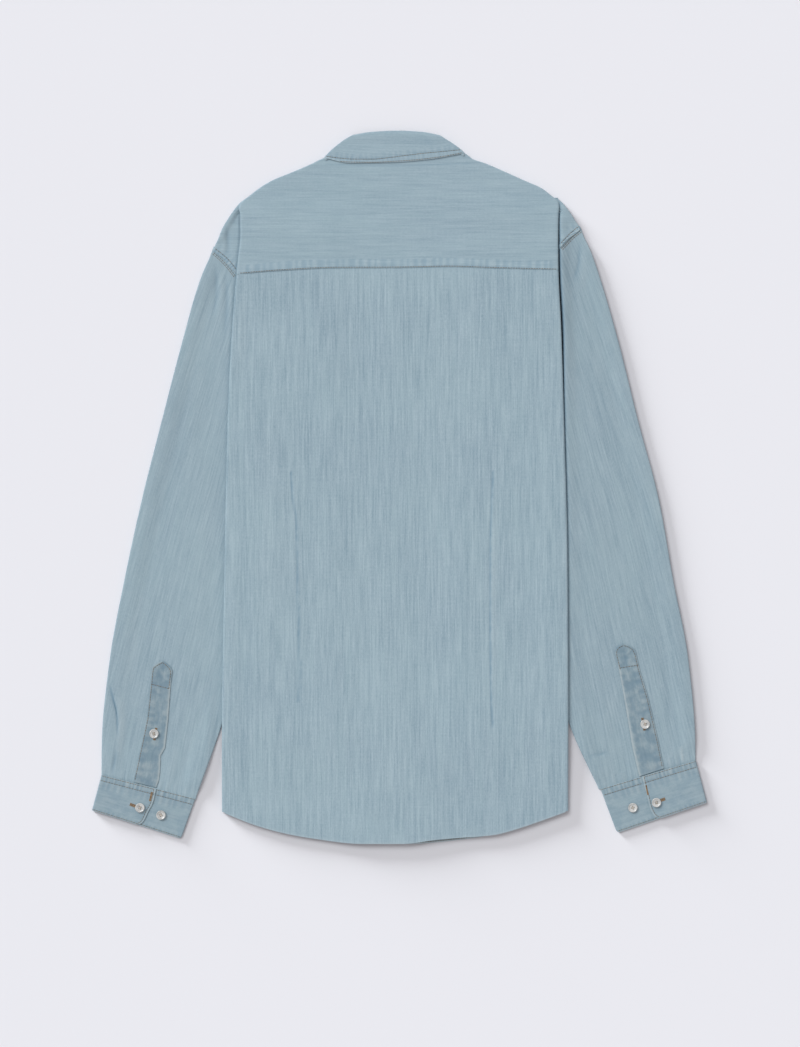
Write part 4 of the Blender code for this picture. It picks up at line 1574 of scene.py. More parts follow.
@dataclass
class Sleeve:
    """A sleeve, flat, with its upper end under the yoke's tip and its lower end in the cuff."""

    room: Workroom
    side: Side
    length: float = 640.0
    head_lap: float = 4.0
    foot_lap: float = 1.6
    head_drop: float = 0.32
    foot_drop: float = 0.30
    outer_roll: float = 2.3
    inner_roll: float = 2.0

    def plan(self) -> SleevePlan:
        """Look up the ends and creases of this side's sleeve.

        Returns:
            The plan.
        """
        if self.side is Side.LEFT:
            return SleevePlan(272.4, -330.9, -358.2, (
                # The tints of these creases paint highlight along ridges and shade along troughs; the first
                # paints a near-black shadow line at the cuff.
                Crease([(-334, -226), (-329, -244), (-325, -262), (-324, -286)], -0.9, 1.2, -1.5),
                Crease([(-325.5, -303), (-328, -318), (-331, -332)], -0.6, 1.4, -0.8),
                Crease([(-321, -240), (-320, -275), (-323, -312)], 0.6, 4.0, 0.25),
                Crease([(-194, 238), (-193, 200), (-198, 150)], 0.5, 2.6, 0.12),
                Crease([(-199, 243), (-198, 215), (-201, 175)], -0.8, 2.2, -0.45),
                Crease([(-206, 252), (-204, 225), (-208, 190)], 0.6, 2.8, 0.12),
                Crease([(-212, 257), (-210, 230), (-214, 196)], -0.8, 2.2, -0.45),
                Crease([(-222, 210), (-232, 120), (-244, 20)], 0.35, 9.0, 0.06),
                Crease([(-250, 90), (-262, 0), (-280, -110)], -0.35, 12.0, -0.06),
                Crease([(-218, 40), (-226, -80), (-240, -190)], 0.35, 14.0, 0.05),
                Crease([(-300, -120), (-308, -200), (-314, -290)], 0.35, 10.0, 0.05),
                Crease([(-240, -300), (-246, -325), (-250, -350)], -0.4, 5.0, -0.1),
                Crease([(-258, -290), (-262, -325), (-266, -350)], 0.4, 5.0, 0.1),
            ))
        return SleevePlan(295.8, -314.2, -346.8, (
            # The tints of these creases paint highlight along ridges and shade along troughs.
            Crease([(207, 279), (206, 257), (199.5, 236)], -0.7, 1.8, -0.65),
            Crease([(212, 270), (212, 248), (207, 226)], 0.45, 4.0, 0.12),
            Crease([(193, 190), (250, 50), (334, -130)], -0.35, 8.0, -0.08),
            Crease([(203, 180), (262, 40), (330, -90)], 0.35, 9.0, 0.08),
            Crease([(200, 60), (232, -60), (280, -170)], 0.35, 12.0, 0.05),
            Crease([(217, -311), (226, -308), (241, -305.5)], -0.6, 1.4, -0.7),
            Crease([(323.5, -298), (324, -306), (325.7, -318)], 0.6, 1.5, 0.7),
            Crease([(300, -180), (312, -240), (318, -300)], -0.35, 9.0, -0.06),
            Crease([(240, -240), (238, -290), (244, -340)], 0.35, 8.0, 0.06),
            Crease([(258, -300), (262, -325), (266, -342)], -0.4, 4.0, -0.1),
        ))

    def ring(self, share: Array, cuts: Array, plan: SleevePlan) -> tuple[Array, Array, Array]:
        """Points between the sleeve's outer and inner edges.

        Args:
            share: Places along the sleeve.
            cuts: Places across it.
            plan: Its ends.

        Returns:
            Distances out, heights in plan, and widths of each row.
        """
        pattern = self.room.pattern
        outer_y = mix(plan.top, plan.end_outer, share)[:, None]
        inner_y = mix(75.0, plan.end_inner, share)[:, None]
        outer_x = pattern.handed(pattern.sleeve_outer, self.side).at(outer_y)
        inner_x = pattern.handed(pattern.sleeve_inner, self.side).at(inner_y)
        bow = pattern.handed(pattern.cap_bow, self.side).at(cuts) * (1 - share[:, None]) ** 4
        width = np.hypot(outer_x - inner_x, outer_y - inner_y)
        return mix(outer_x, inner_x, cuts), mix(outer_y, inner_y, cuts) + bow, width

    def edge_roll(self, out: Array, y: Array, run: Array, width: Array, share: Array) -> Array:
        """Extra height where the sleeve's folded edges spring open.

        Args:
            out: Distances out.
            y: Heights in plan.
            run: Places across the sleeve, from the outer edge.
            width: Width of each row.
            share: Places along the sleeve.

        Returns:
            Heights above the flat sleeve.
        """
        free = smooth(share / 0.05)[:, None] * (1 - 0.8 * smooth((share - 0.955) / 0.04)[:, None])
        outer = self.outer_roll * (1 - smooth((run * width - 6.0) / 24.0))
        beyond = smooth((out - self.room.pattern.fold(self.side).at(y) - 5.0) / 14.0)
        inner = self.inner_roll * (1 - smooth(((1 - run) * width - 5.0) / 22.0)) * beyond
        return free * (outer + inner)

    def make(self) -> Item:
        """Build the sleeve.

        Returns:
            The piece.
        """
        pattern = self.room.pattern
        plan = self.plan()
        fine = 1.8 / self.length
        share = graded(0.0, 1.0, 3.2 / self.length, [(0.0, 0.015, fine), (1.0, 0.02, fine)])
        across = np.linspace(0.0, 1.0, 92)
        back_cuts = np.linspace(0.0, 1.0, 30)[::-1]
        radius = pattern.sleeve_radius
        inset = radius + pattern.wall / 2
        width = self.ring(share, across, plan)[2]
        x, y, _ = self.ring(share, inset / width + across * (1 - 2 * inset / width), plan)
        low_x, low_y, _ = self.ring(share, inset / width + back_cuts * (1 - 2 * inset / width), plan)
        ends = self.ring(share, np.array([0.0, 1.0]), plan)
        ahead = np.stack([ends[0][:, 1] - ends[0][:, 0], ends[1][:, 1] - ends[1][:, 0]], axis=1)
        ahead /= np.hypot(ahead[:, 0], ahead[:, 1])[:, None]
        angle = np.radians(np.linspace(90.0, -90.0, 8)[1:-1])
        middle = (pattern.floor_layer + pattern.sleeve_layer) / 2
        rounded_x = x[:, -1:] + ahead[:, :1] * radius * np.cos(angle)
        rounded_y = y[:, -1:] + ahead[:, 1:] * radius * np.cos(angle)
        back_x = x[:, :1] - ahead[:, :1] * radius * np.cos(angle)
        back_y = y[:, :1] - ahead[:, 1:] * radius * np.cos(angle)
        up = np.broadcast_to(middle + radius * np.sin(angle), rounded_x.shape)
        top_z = np.full_like(x, pattern.sleeve_layer)
        low_z = np.full_like(low_x, pattern.floor_layer)
        xs = np.concatenate([x, rounded_x, low_x, back_x, x[:, :1]], axis=1)
        ys = np.concatenate([y, rounded_y, low_y, back_y, y[:, :1]], axis=1)
        zs = np.concatenate([top_z, up, low_z, up[:, ::-1], top_z[:, :1]], axis=1)
        is_top = (zs - pattern.floor_layer) / (pattern.sleeve_layer - pattern.floor_layer)
        head = (1 - smooth(share / 0.02))[:, None] * is_top
        foot = smooth((share - 0.992) / 0.008)[:, None] * is_top
        ys = ys + self.head_lap * head - self.foot_lap * foot
        zs = zs - self.head_drop * head - self.foot_drop * foot
        run = np.concatenate([across, np.full(len(angle), 1.0), back_cuts, np.zeros(len(angle)), [0.0]])
        long = (share * self.length)[:, None] + np.zeros_like(xs)
        wide = run[None, :] * width
        grain = np.stack([wide - width / 2, -long], axis=-1)
        fold = pattern.fold(self.side).at(ys) - 6.0
        outside = smooth((xs - fold) / 8.0)
        edge = smooth(run / 0.03) * smooth((1 - run) / 0.03)
        showing = is_top * mix(0.45, 1.0, outside) * edge
        raised = pattern.beside_fold(self.side, xs, ys) + self.edge_roll(xs, ys, run, width, share)
        zs = zs + raised * is_top
        signed = self.side.value * xs
        sheet = ClothSheet(np.stack([signed, ys, zs], axis=-1), grain, showing)
        # Painted shade in the gap beside the side fold, on the sleeve's upper face.
        sheet.wear = pattern.fold_shade(self.side, xs, ys) * is_top
        last = len(across) - 1
        seam = curve_through([(signed[-1, 0], ys[-1, 0]), (signed[-1, last], ys[-1, last])], 2.0)
        away = 1 if self.side is Side.LEFT else -1
        sheet.press([
            *plan.creases,
            Pucker(seam if away > 0 else seam[::-1], 0.5, 11.0, 9.5, 0.25, 0.13, 0.8 + away),
        ])
        sheet.points[..., 2] += ripple(signed, ys, 120.0, 0.16, 20 + away, 2.5) * showing
        finishes = self.room.finishes
        cloth = finishes.denim_left if self.side is Side.LEFT else finishes.denim_right
        item = sheet.build(f"sleeve_cloth_{self.side.label}", self.room.cloth, cloth, closed=True)
        self.room.keep(item, [f"sleeve_{self.side.label}"], "denim")
        return item


@dataclass(frozen=True)
class CuffPlan:
    """Corners of a cuff, outwards and up, and where its lap ends."""

    outer_top: tuple[float, float]
    inner_top: tuple[float, float]
    outer_low: tuple[float, float]
    inner_low: tuple[float, float]
    lap: Points


@dataclass
class Cuff:
    """A buttoned cuff, lapped on itself, with rubbed edges."""

    room: Workroom
    side: Side
    layers: tuple[float, float, float] = (0.6, 2.1, 3.6)
    wall: float = 1.05
    underlap: float = 0.24
    top_row: float = 0.022
    second_row: float = 0.15
    low_row: float = 0.972
    lap_inset: float = 2.2
    corner_radius: float = 3.0
    edge_swell: float = 0.45

    def plan(self) -> CuffPlan:
        """Look up this side's corners and lap.

        Returns:
            The plan.
        """
        if self.side is Side.LEFT:
            return CuffPlan((342.4, -331.4), (234.6, -358.8), (353.3, -372.0), (251.0, -404.6), (
                (0, 0.583), (0.36, 0.594), (0.59, 0.577), (0.86, 0.561), (0.95, 0.540), (1, 0.493),
            ))
        return CuffPlan((340.4, -314.8), (231.0, -347.4), (353.3, -363.0), (250.0, -398.0), (
            (0, 0.565), (0.12, 0.569), (0.42, 0.577), (0.70, 0.588), (0.85, 0.580), (0.95, 0.556), (1, 0.505),
        ))

    def frame(self, share: Array) -> tuple[Array, Array, Array]:
        """Lay out rows along the cuff.

        Args:
            share: Places from the upper edge to the lower one.

        Returns:
            Outer end, direction inwards and length of each row.
        """
        plan = self.plan()
        outer = mix(np.array(plan.outer_top), np.array(plan.outer_low), share[:, None])
        inner = mix(np.array(plan.inner_top), np.array(plan.inner_low), share[:, None])
        length = np.hypot(*(inner - outer).T)
        return outer, (inner - outer) / length[:, None], length

    def line(self, share: float, start: float, stop: float) -> Array:
        """Draw a line along the cuff.

        Args:
            share: Its place from the upper edge to the lower one.
            start: Share of the length where it starts.
            stop: Share of the length where it ends.

        Returns:
            Points of the line.
        """
        outer, along, length = self.frame(np.array([share]))
        ends = [outer[0] + along[0] * length[0] * spot for spot in (start, stop)]
        return curve_through([(self.side.value * x, y) for x, y in ends], 1.0)

    def lap(self, share: Array) -> Array:
        """Share of the length where the lap ends, with its rounded lower corner."""
        return track(self.plan().lap, 1).at(share)

    def lap_line(self, inset: float) -> Array:
        """Draw the lap's edge.

        Args:
            inset: How far it is moved into the lap.

        Returns:
            Points of the line.
        """
        share = np.linspace(0.02, 0.965, 22)
        outer, along, length = self.frame(share)
        places = outer + along * (length * self.lap(share) - inset)[:, None]
        return curve_through([(self.side.value * x, y) for x, y in places], 1.0)

    def make(self) -> Item:
        """Build the cuff.

        Returns:
            The piece.
        """
        low, under, over = self.layers
        share = graded(0.0, 1.0, 0.032, [(0.0, 0.08, 0.02), (1.0, 0.06, 0.02)])
        outer, along, length = self.frame(share)
        lap = (self.lap(share) * length)[:, None]
        low_part = np.clip((share - 0.90) / 0.10, 0, 1)
        corner = self.corner_radius * (1 - np.sqrt(np.clip(1 - low_part ** 2, 0, 1)))[:, None]
        wide, narrow = (over - low) / 2, (under - low) / 2
        start = np.full_like(lap, wide + self.wall / 2)
        stop = length[:, None] - narrow - self.wall / 2 - corner * 0.8
        underlap = lap - self.underlap * length[:, None]
        turn = np.radians(np.linspace(90.0, -90.0, 9))
        over_run = np.linspace(0.0, 1.0, 52)[:-1]
        low_run = np.linspace(0.0, 1.0, 60)[1:-1]
        under_run = np.linspace(0.0, 1.0, 60)[1:]
        distance = np.concatenate([
            mix(lap, start, over_run),
            start - wide * np.cos(turn),
            mix(start, stop, low_run),
            stop + narrow * np.cos(turn[::-1]),
            mix(stop, underlap, under_run),
        ], axis=1)
        up = np.concatenate([
            np.full(len(over_run), over), (low + over) / 2 + wide * np.sin(turn),
            np.full(len(low_run), low), (low + under) / 2 + narrow * np.sin(turn[::-1]),
            np.full(len(under_run), under),
        ])
        x = self.side.value * (outer[:, :1] + along[:, :1] * distance)
        y = outer[:, 1:] + along[:, 1:] * distance
        z = np.broadcast_to(up, x.shape).copy()
        facing_up = np.concatenate([
            np.ones(len(over_run)), smooth(np.sin(turn) - 0.2), np.zeros(len(low_run)),
            np.zeros(len(turn)), np.ones(len(under_run)),
        ])
        bare = np.ones(len(up))
        bare[-len(under_run):] = smooth((1 - under_run) * 2.0)
        edge_lift = (np.exp(-((share - 0.03) / 0.07) ** 2) * self.edge_swell)[:, None]
        showing = np.broadcast_to(facing_up * bare, x.shape).copy()
        z = z + edge_lift * showing
        rounded = (np.exp(-(share / 0.012) ** 2) + np.exp(-((1 - share) / 0.014) ** 2))[:, None]
        z = z - 0.25 * rounded * showing
        first = np.zeros(len(up))
        first[:len(over_run)] = 1.0
        z = z - 0.2 * np.exp(-((lap - distance) / 0.9) ** 2) * facing_up * first
        grain = np.stack([np.broadcast_to(share[:, None] * 40.0, x.shape), distance], axis=-1)
        sheet = ClothSheet(np.stack([x, y, z], axis=-1), grain, showing)
        upper, second, lower = (
            self.line(row, 0.0, 1.0) for row in (self.top_row, self.second_row, self.low_row)
        )
        sheet.press([
            SeamDent(upper, 0.15, 0.8, -0.35), SeamDent(second, 0.25, 0.9, -0.5),
            Pucker(upper, -6.0, 6.0, 5.2, 0.12, 0.40, 1.0),
            Pucker(second, -9.0, 9.0, 8.0, 0.14, 0.20, 4.0),
            SeamDent(lower, 0.15, 0.7, -0.3), Pucker(lower, -3.0, 3.0, 5.6, 0.10, 0.25, 2.0),
            SeamDent(self.lap_line(self.lap_inset), 0.25, 0.8, -0.45),
        ])
        sheet.wear += 0.75 * np.exp(-((lap - distance) / 1.5) ** 2) * first
        sheet.wear += 0.55 * rounded * facing_up
        item = sheet.build(f"cuff_band_{self.side.label}", self.wall, self.room.finishes.denim_cuff)
        self.room.keep(item, [f"cuff_{self.side.label}"], "denim")
        return item

    def seams(self) -> list[Array]:
        """Rows sewn on the cuff."""
        return [
            self.line(self.top_row, 0.005, 0.995), self.line(self.second_row, 0.005, 0.99),
            self.line(self.low_row, 0.01, 0.985), self.lap_line(self.lap_inset),
        ]


@dataclass
class SleevePlacket:
    """The pointed strip that binds the sleeve's opening."""

    room: Workroom
    side: Side
    length: float = 145.0
    layer: float = 3.1
    row_inset: float = 1.5

    def rows(self) -> tuple[tuple[float, float, float], ...]:
        """Height, outer edge and inner edge, from the point down."""
        if self.side is Side.LEFT:
            return (
                (-200.6, 272.5, 271.5), (-203.5, 279.0, 267.0), (-207.5, 284.0, 263.0),
                (-211.5, 284.6, 261.0), (-227, 286.0, 263.0), (-265, 290.0, 266.0),
                (-296, 296.4, 269.6), (-304, 298.2, 274.6), (-322, 302.0, 275.4),
                (-332, 304.2, 276.8), (-339.4, 305.8, 279.6),
            )
        return (
            (-181.4, 259.4, 255.4), (-183.0, 264.4, 251.6), (-185.8, 269.2, 248.8), (-190.4, 271.6, 247.2),
            (-209, 275.5, 252.0), (-244, 286.0, 259.0), (-291, 297.0, 267.5), (-324, 303.6, 275.6),
        )

    def slant(self) -> float:
        """How much lower the inner corner of the end is."""
        return 6.2 if self.side is Side.LEFT else 9.0

    def edges(self, share: Array, inset: float = 0.0) -> tuple[Array, Array]:
        """Outer and inner edge at some shares of the way down.

        Args:
            share: Places down the strip.
            inset: Distance moved into the strip.

        Returns:
            Points of each edge, outwards and up.
        """
        rows = self.rows()
        top, bottom = rows[0][0] - inset, rows[-1][0]
        height = mix(top, bottom, share)
        keys, outer_edge, inner_edge = np.array(rows[::-1], float).T
        spot = np.where(height > rows[3][0], height + inset, height)
        outer = np.interp(spot, keys, outer_edge)
        inner = np.interp(spot, keys, inner_edge)
        drop = self.slant() * smooth((rows[3][0] - height) / (rows[3][0] - bottom))
        room = np.clip((outer - inner) / 2 - 0.05, 0.0, inset)
        return np.stack([outer - room, height], axis=1), np.stack([inner + room, height - drop], axis=1)

    def outline(self, inset: float) -> list[Array]:
        """Draw the rows sewn round the strip.

        Args:
            inset: How far inside its edges they run.

        Returns:
            The rows down its outer and its inner edge, from the point.
        """
        share = np.concatenate([np.linspace(0.0, 0.05, 9), np.linspace(0.05, 0.985, 34)[1:]])
        outer, inner = self.edges(share, inset)
        flip = np.array([self.side.value, 1.0])
        return [outer * flip, inner * flip]

    def folds(self) -> list[Points]:
        """Lines where the strip is pressed unevenly."""
        if self.side is Side.LEFT:
            return [
                [(-282, -212), (-274, -219), (-266, -226)], [(-274, -203), (-276, -214), (-272, -224)],
                [(-284, -236), (-276, -240), (-270, -238)], [(-287, -268), (-280, -272), (-274, -270)],
                [(-292, -296), (-284, -300), (-276, -299)], [(-298, -322), (-290, -327), (-281, -326)],
                [(-300, -334), (-292, -338), (-284, -341)], [(-279, -248), (-277, -262), (-279, -276)],
            ]
        return [
            [(252, -192), (259, -198), (268, -194)], [(256, -186), (260, -196), (258, -206)],
            [(258, -222), (266, -226), (276, -222)], [(264, -240), (268, -252), (266, -264)],
            [(268, -258), (277, -262), (286, -256)], [(276, -290), (285, -293), (294, -290)],
            [(276, -306), (284, -310), (294, -306)], [(282, -324), (290, -328), (299, -322)],
        ]

    def cross(self) -> Array:
        """The row that crosses the strip under its point."""
        if self.side is Side.LEFT:
            return curve_through([(-284.8, -227.2), (-264.6, -232.4)])
        return curve_through([(274.8, -205.2), (253.2, -208.6)])

    def make(self) -> Item:
        """Build the strip.

        Returns:
            The piece.
        """
        share = graded(0.0, 1.0, 1.7 / self.length, [(0.0, 0.06, 0.7 / self.length)])
        outer, inner = self.edges(share)
        across = np.concatenate([[0.0, 0.02, 0.045], np.linspace(0.09, 0.91, 17), [0.955, 0.98, 1.0]])
        x = mix(outer[:, :1], inner[:, :1], across)
        y = mix(outer[:, 1:], inner[:, 1:], across)
        width = outer[:, :1] - inner[:, :1]
        rim = np.minimum(across, 1 - across) * width
        z = self.layer - 0.22 * np.exp(-(rim / 0.8) ** 2) + 0.16 * np.exp(-((rim - 3.4) / 1.6) ** 2)
        grain = np.stack([(across - 0.5) * width, y], axis=-1)
        sheet = ClothSheet(np.stack([self.side.value * x, y, z], axis=-1), grain, np.ones(x.shape))
        down_outer, down_inner = self.outline(self.row_inset)
        sign = self.side.value
        sheet.press([
            SeamDent(down_outer, 0.18, 0.8, -0.3),
            Pucker(down_outer if sign > 0 else down_outer[::-1], -7.0, 0.5, 9.0, 0.16, 0.38, 1.0, 0.5),
            Pucker(down_inner, -6.0, 6.0, 12.0, 0.14, 0.22, 3.0, 0.5),
            SeamDent(self.cross(), 0.2, 0.9, -0.4),
            # Their tints paint shade along the pressed folds.
            *[Crease(line, -0.25, 2.2, -0.45) for line in self.folds()],
        ])
        rubbed = np.exp(-(((1 - across) * width) / 1.5) ** 2) * smooth((share - 0.13) / 0.08)[:, None]
        outer_rub = np.exp(-((across * width) / 0.8) ** 2)
        sheet.wear += 1.9 * rubbed + 0.35 * outer_rub
        label = self.side.label
        item = sheet.build(f"placket_strip_{label}", self.room.cloth, self.room.finishes.denim_strip)
        self.room.keep(item, [f"sleeve_placket_{label}"], "denim")
        return item


@dataclass
class Collar:
    """The fall and the stand, rings that pass round the neck from one front end to the other."""

    room: Workroom
    leaf_left: Table = (   # roll x and y, edge x and y, layer
        (-6, 303, -48, 242, 0.5), (-34, 318, -76, 268, 0.5), (-57, 343, -98, 303, 0.5),
        (-68, 374, -103, 345, 0.5), (-54, 403.0, -87.0, 377.4, 0.5),
    )
    leaf_back: Table = (
        (-54, 403.0, -87.0, 377.4, 7.7), (-32, 406.6, -56, 371.2, 7.7), (-2, 408.0, -9, 371.9, 7.7),
        (26, 406.6, 34, 375.4, 7.7), (46, 402.8, 75.6, 382.6, 7.7),
    )
    leaf_right: Table = (
        (46, 402.8, 75.6, 382.6, 0.5), (60, 374, 97, 347, 0.5), (54, 343, 95, 303, 0.5),
        (34, 318, 76, 268, 0.5), (6, 303, 48, 242, 0.5),
    )
    stand_left: Table = (
        (12, 300, 12, 279.5, 3.2), (-10, 303.5, -16, 281.2, 3.2), (-33, 319, -54, 300.5, 2.0),
        (-55, 345, -80, 336, 2.0), (-65.5, 374, -83, 358, 2.0), (-59.0, 397, -80, 380.0, 2.0),
    )
    stand_back: Table = (
        (-59.0, 397, -80, 380.0, 6.1), (-32, 404.5, -45, 375.6, 6.1), (0, 406.5, 0, 376.0, 6.1),
        (32, 404.5, 42, 380.0, 6.1), (48.5, 398.5, 70.5, 384.0, 6.1),
    )
    stand_right: Table = (
        (48.5, 398.5, 70.5, 384.0, 2.0), (58, 374, 77.5, 358, 2.0), (52, 345, 77, 336, 2.0),
        (33, 319, 54, 300.5, 2.0), (10, 303.5, 16, 281.2, 4.5), (-12, 300, -12, 279.5, 4.5),
    )
    bow: float = 2.5
    roll_width: float = 4.5
    roll_drop: float = 1.6

    @staticmethod
    def stations(rows: Table, per_row: int) -> Array:
        """Ease through the rows of a collar table.

        Args:
            rows: The table.
            per_row: Stations from one row to the next.

        Returns:
            Stations, a row each.
        """
        keys = tuple(float(index) for index in range(len(rows)))
        spots = np.linspace(0.0, len(rows) - 1.0, per_row * (len(rows) - 1) + 1)
        columns = np.array(rows, float).T
        return np.stack([Track(keys, tuple(column)).at(spots) for column in columns], axis=1)

    @staticmethod
    def side_turn(low: Array, high: Array, side: Side) -> Array:
        """Stations round a side fold of the collar, from its lower layer to its upper one.

        Args:
            low: Last station of the lower layer.
            high: First station of the upper layer.
            side: Which side.

        Returns:
            Stations, a row each.
        """
        along = np.array([low[2] - low[0], low[3] - low[1]])
        along /= np.hypot(*along)
        out = np.array([along[1], -along[0]])
        if out[0] * side.value < 0:
            out = -out
        radius = (high[4] - low[4]) / 2
        angle = np.radians(np.linspace(-90.0, 90.0, 15))
        shift = (radius * np.cos(angle) - radius - 0.5)[:, None] * out
        level = (high[4] + low[4]) / 2 + radius * np.sin(angle)
        return np.column_stack([low[0] + shift[:, 0], low[1] + shift[:, 1],
                                low[2] + shift[:, 0], low[3] + shift[:, 1], level])

    def band(self, left: Table, back: Table,
             right: Table, steps: int, back_steps: int) -> Array:
        """All stations of a collar piece, from the left front end to the right one."""
        return np.concatenate([
            self.stations(left, steps)[:-1],
            self.side_turn(np.array(left[-1], float), np.array(back[0], float), Side.LEFT),
            self.stations(back, back_steps)[1:-1],
            self.side_turn(np.array(right[0], float), np.array(back[-1], float), Side.RIGHT)[::-1],
            self.stations(right, steps)[1:],
        ])

    def spread(self, stations: Array, cuts: Array) -> tuple[Array, Array, Array, Array]:
        """Lay a collar piece out between its two edges.

        Args:
            stations: Both edges and the layer, a row each.
            cuts: Shares of the way from the roll to the edge, in a column.

        Returns:
            Places across and up, length of each station, and grain.
        """
        roll, edge = stations[:, 0:2], stations[:, 2:4]
        x = mix(roll[:, 0], edge[:, 0], cuts)
        y = mix(roll[:, 1], edge[:, 1], cuts)
        long = np.hypot(*(edge - roll).T)
        grain = np.stack([cuts * long, np.broadcast_to(run_along(roll), x.shape)], axis=-1)
        return x, y, long, grain

    def make_leaf(self) -> Item:
        """The fall, stitched near its edge and rounded where it rolls over the stand.

        Returns:
            The piece.
        """
        stations = self.band(self.leaf_left, self.leaf_back, self.leaf_right, 14, 26)
        cuts = graded(0.0, 1.0, 0.045, [(0.0, 0.06, 0.016), (1.0, 0.18, 0.020)])[:, None]
        x, y, long, grain = self.spread(stations, cuts)
        out, level = stations[:, 0], stations[:, 4]
        bow = self.bow * smooth((np.abs(out) - 30.0) / 26.0) * 4 * cuts * (1 - cuts)
        x = x + 0.75 * np.sign(out) * bow
        y = y + 0.55 * bow
        on_back = smooth((level - 6.5) / 1.0)
        near = np.clip(1 - cuts * long / self.roll_width, 0.0, 1.0)
        z = level - self.roll_drop * (1 - np.sqrt(1 - near ** 2 * 0.98)) * on_back
        sheet = ClothSheet(np.stack([x, y, z], axis=-1), grain, np.broadcast_to(on_back, x.shape).copy())
        upper, lower = self.fall_rows()
        sheet.press([
            SeamDent(upper, 0.22, 0.9, -0.45),
            SeamDent(lower, 0.15, 0.7, -0.3),
            Pucker(lower, 0.0, 5.4, 4.6, 0.20, 0.26, 1.4, 0.6),
            Pucker(upper, 0.5, 6.0, 7.0, 0.10, 0.22, 2.4, 0.5),
            # The tints of these creases paint highlight along ridges and shade along troughs.
            Crease([(20, 404), (34, 394), (44, 384)], -0.4, 3.5, -0.12),
            Crease([(-70, 396), (-30, 400), (10, 403)], 0.3, 4.0, 0.08),
            Crease([(-40, 382), (0, 386), (40, 390)], 0.25, 6.0, 0.05),
        ])
        sheet.wear += 0.5 * np.exp(-(((1 - cuts) * long) / 1.1) ** 2)
        item = sheet.build("collar_fall", self.room.cloth, self.room.finishes.denim_cross)
        self.room.keep(item, ["collar_leaf"], "denim")
        return item

    def fall_rows(self) -> list[Array]:
        """Draw the rows sewn along the fall's edge at the back.

        Returns:
            The rows, the upper one first.
        """
        upper = (
            (-84, 378.6), (-66, 376.4), (-51, 375.4), (-31, 375.4), (-12, 377.2), (10, 380.0),
            (32, 382.6), (54, 384.6), (70, 386.2),
        )
        lower = (
            (-80, 374.6), (-70, 373.0), (-54, 372.1), (-31, 371.9), (-9, 372.8), (14, 374.3),
            (36, 376.6), (54, 379.3), (72, 382.8),
        )
        return [curve_through(upper), curve_through(lower)]

    def make_stand(self) -> Item:
        """The stand, mostly covered by the fall.

        Returns:
            The piece.
        """
        stations = self.band(self.stand_left, self.stand_back, self.stand_right, 10, 12)
        x, y, _, grain = self.spread(stations, np.linspace(0.0, 1.0, 14)[:, None])
        z = np.broadcast_to(stations[:, 4], x.shape)
        sheet = ClothSheet(np.stack([x, y, z], axis=-1), grain, np.zeros(x.shape))
        item = sheet.build("collar_band", self.room.cloth, self.room.finishes.denim_cross)
        self.room.keep(item, ["collar_stand"], "denim")
        return item


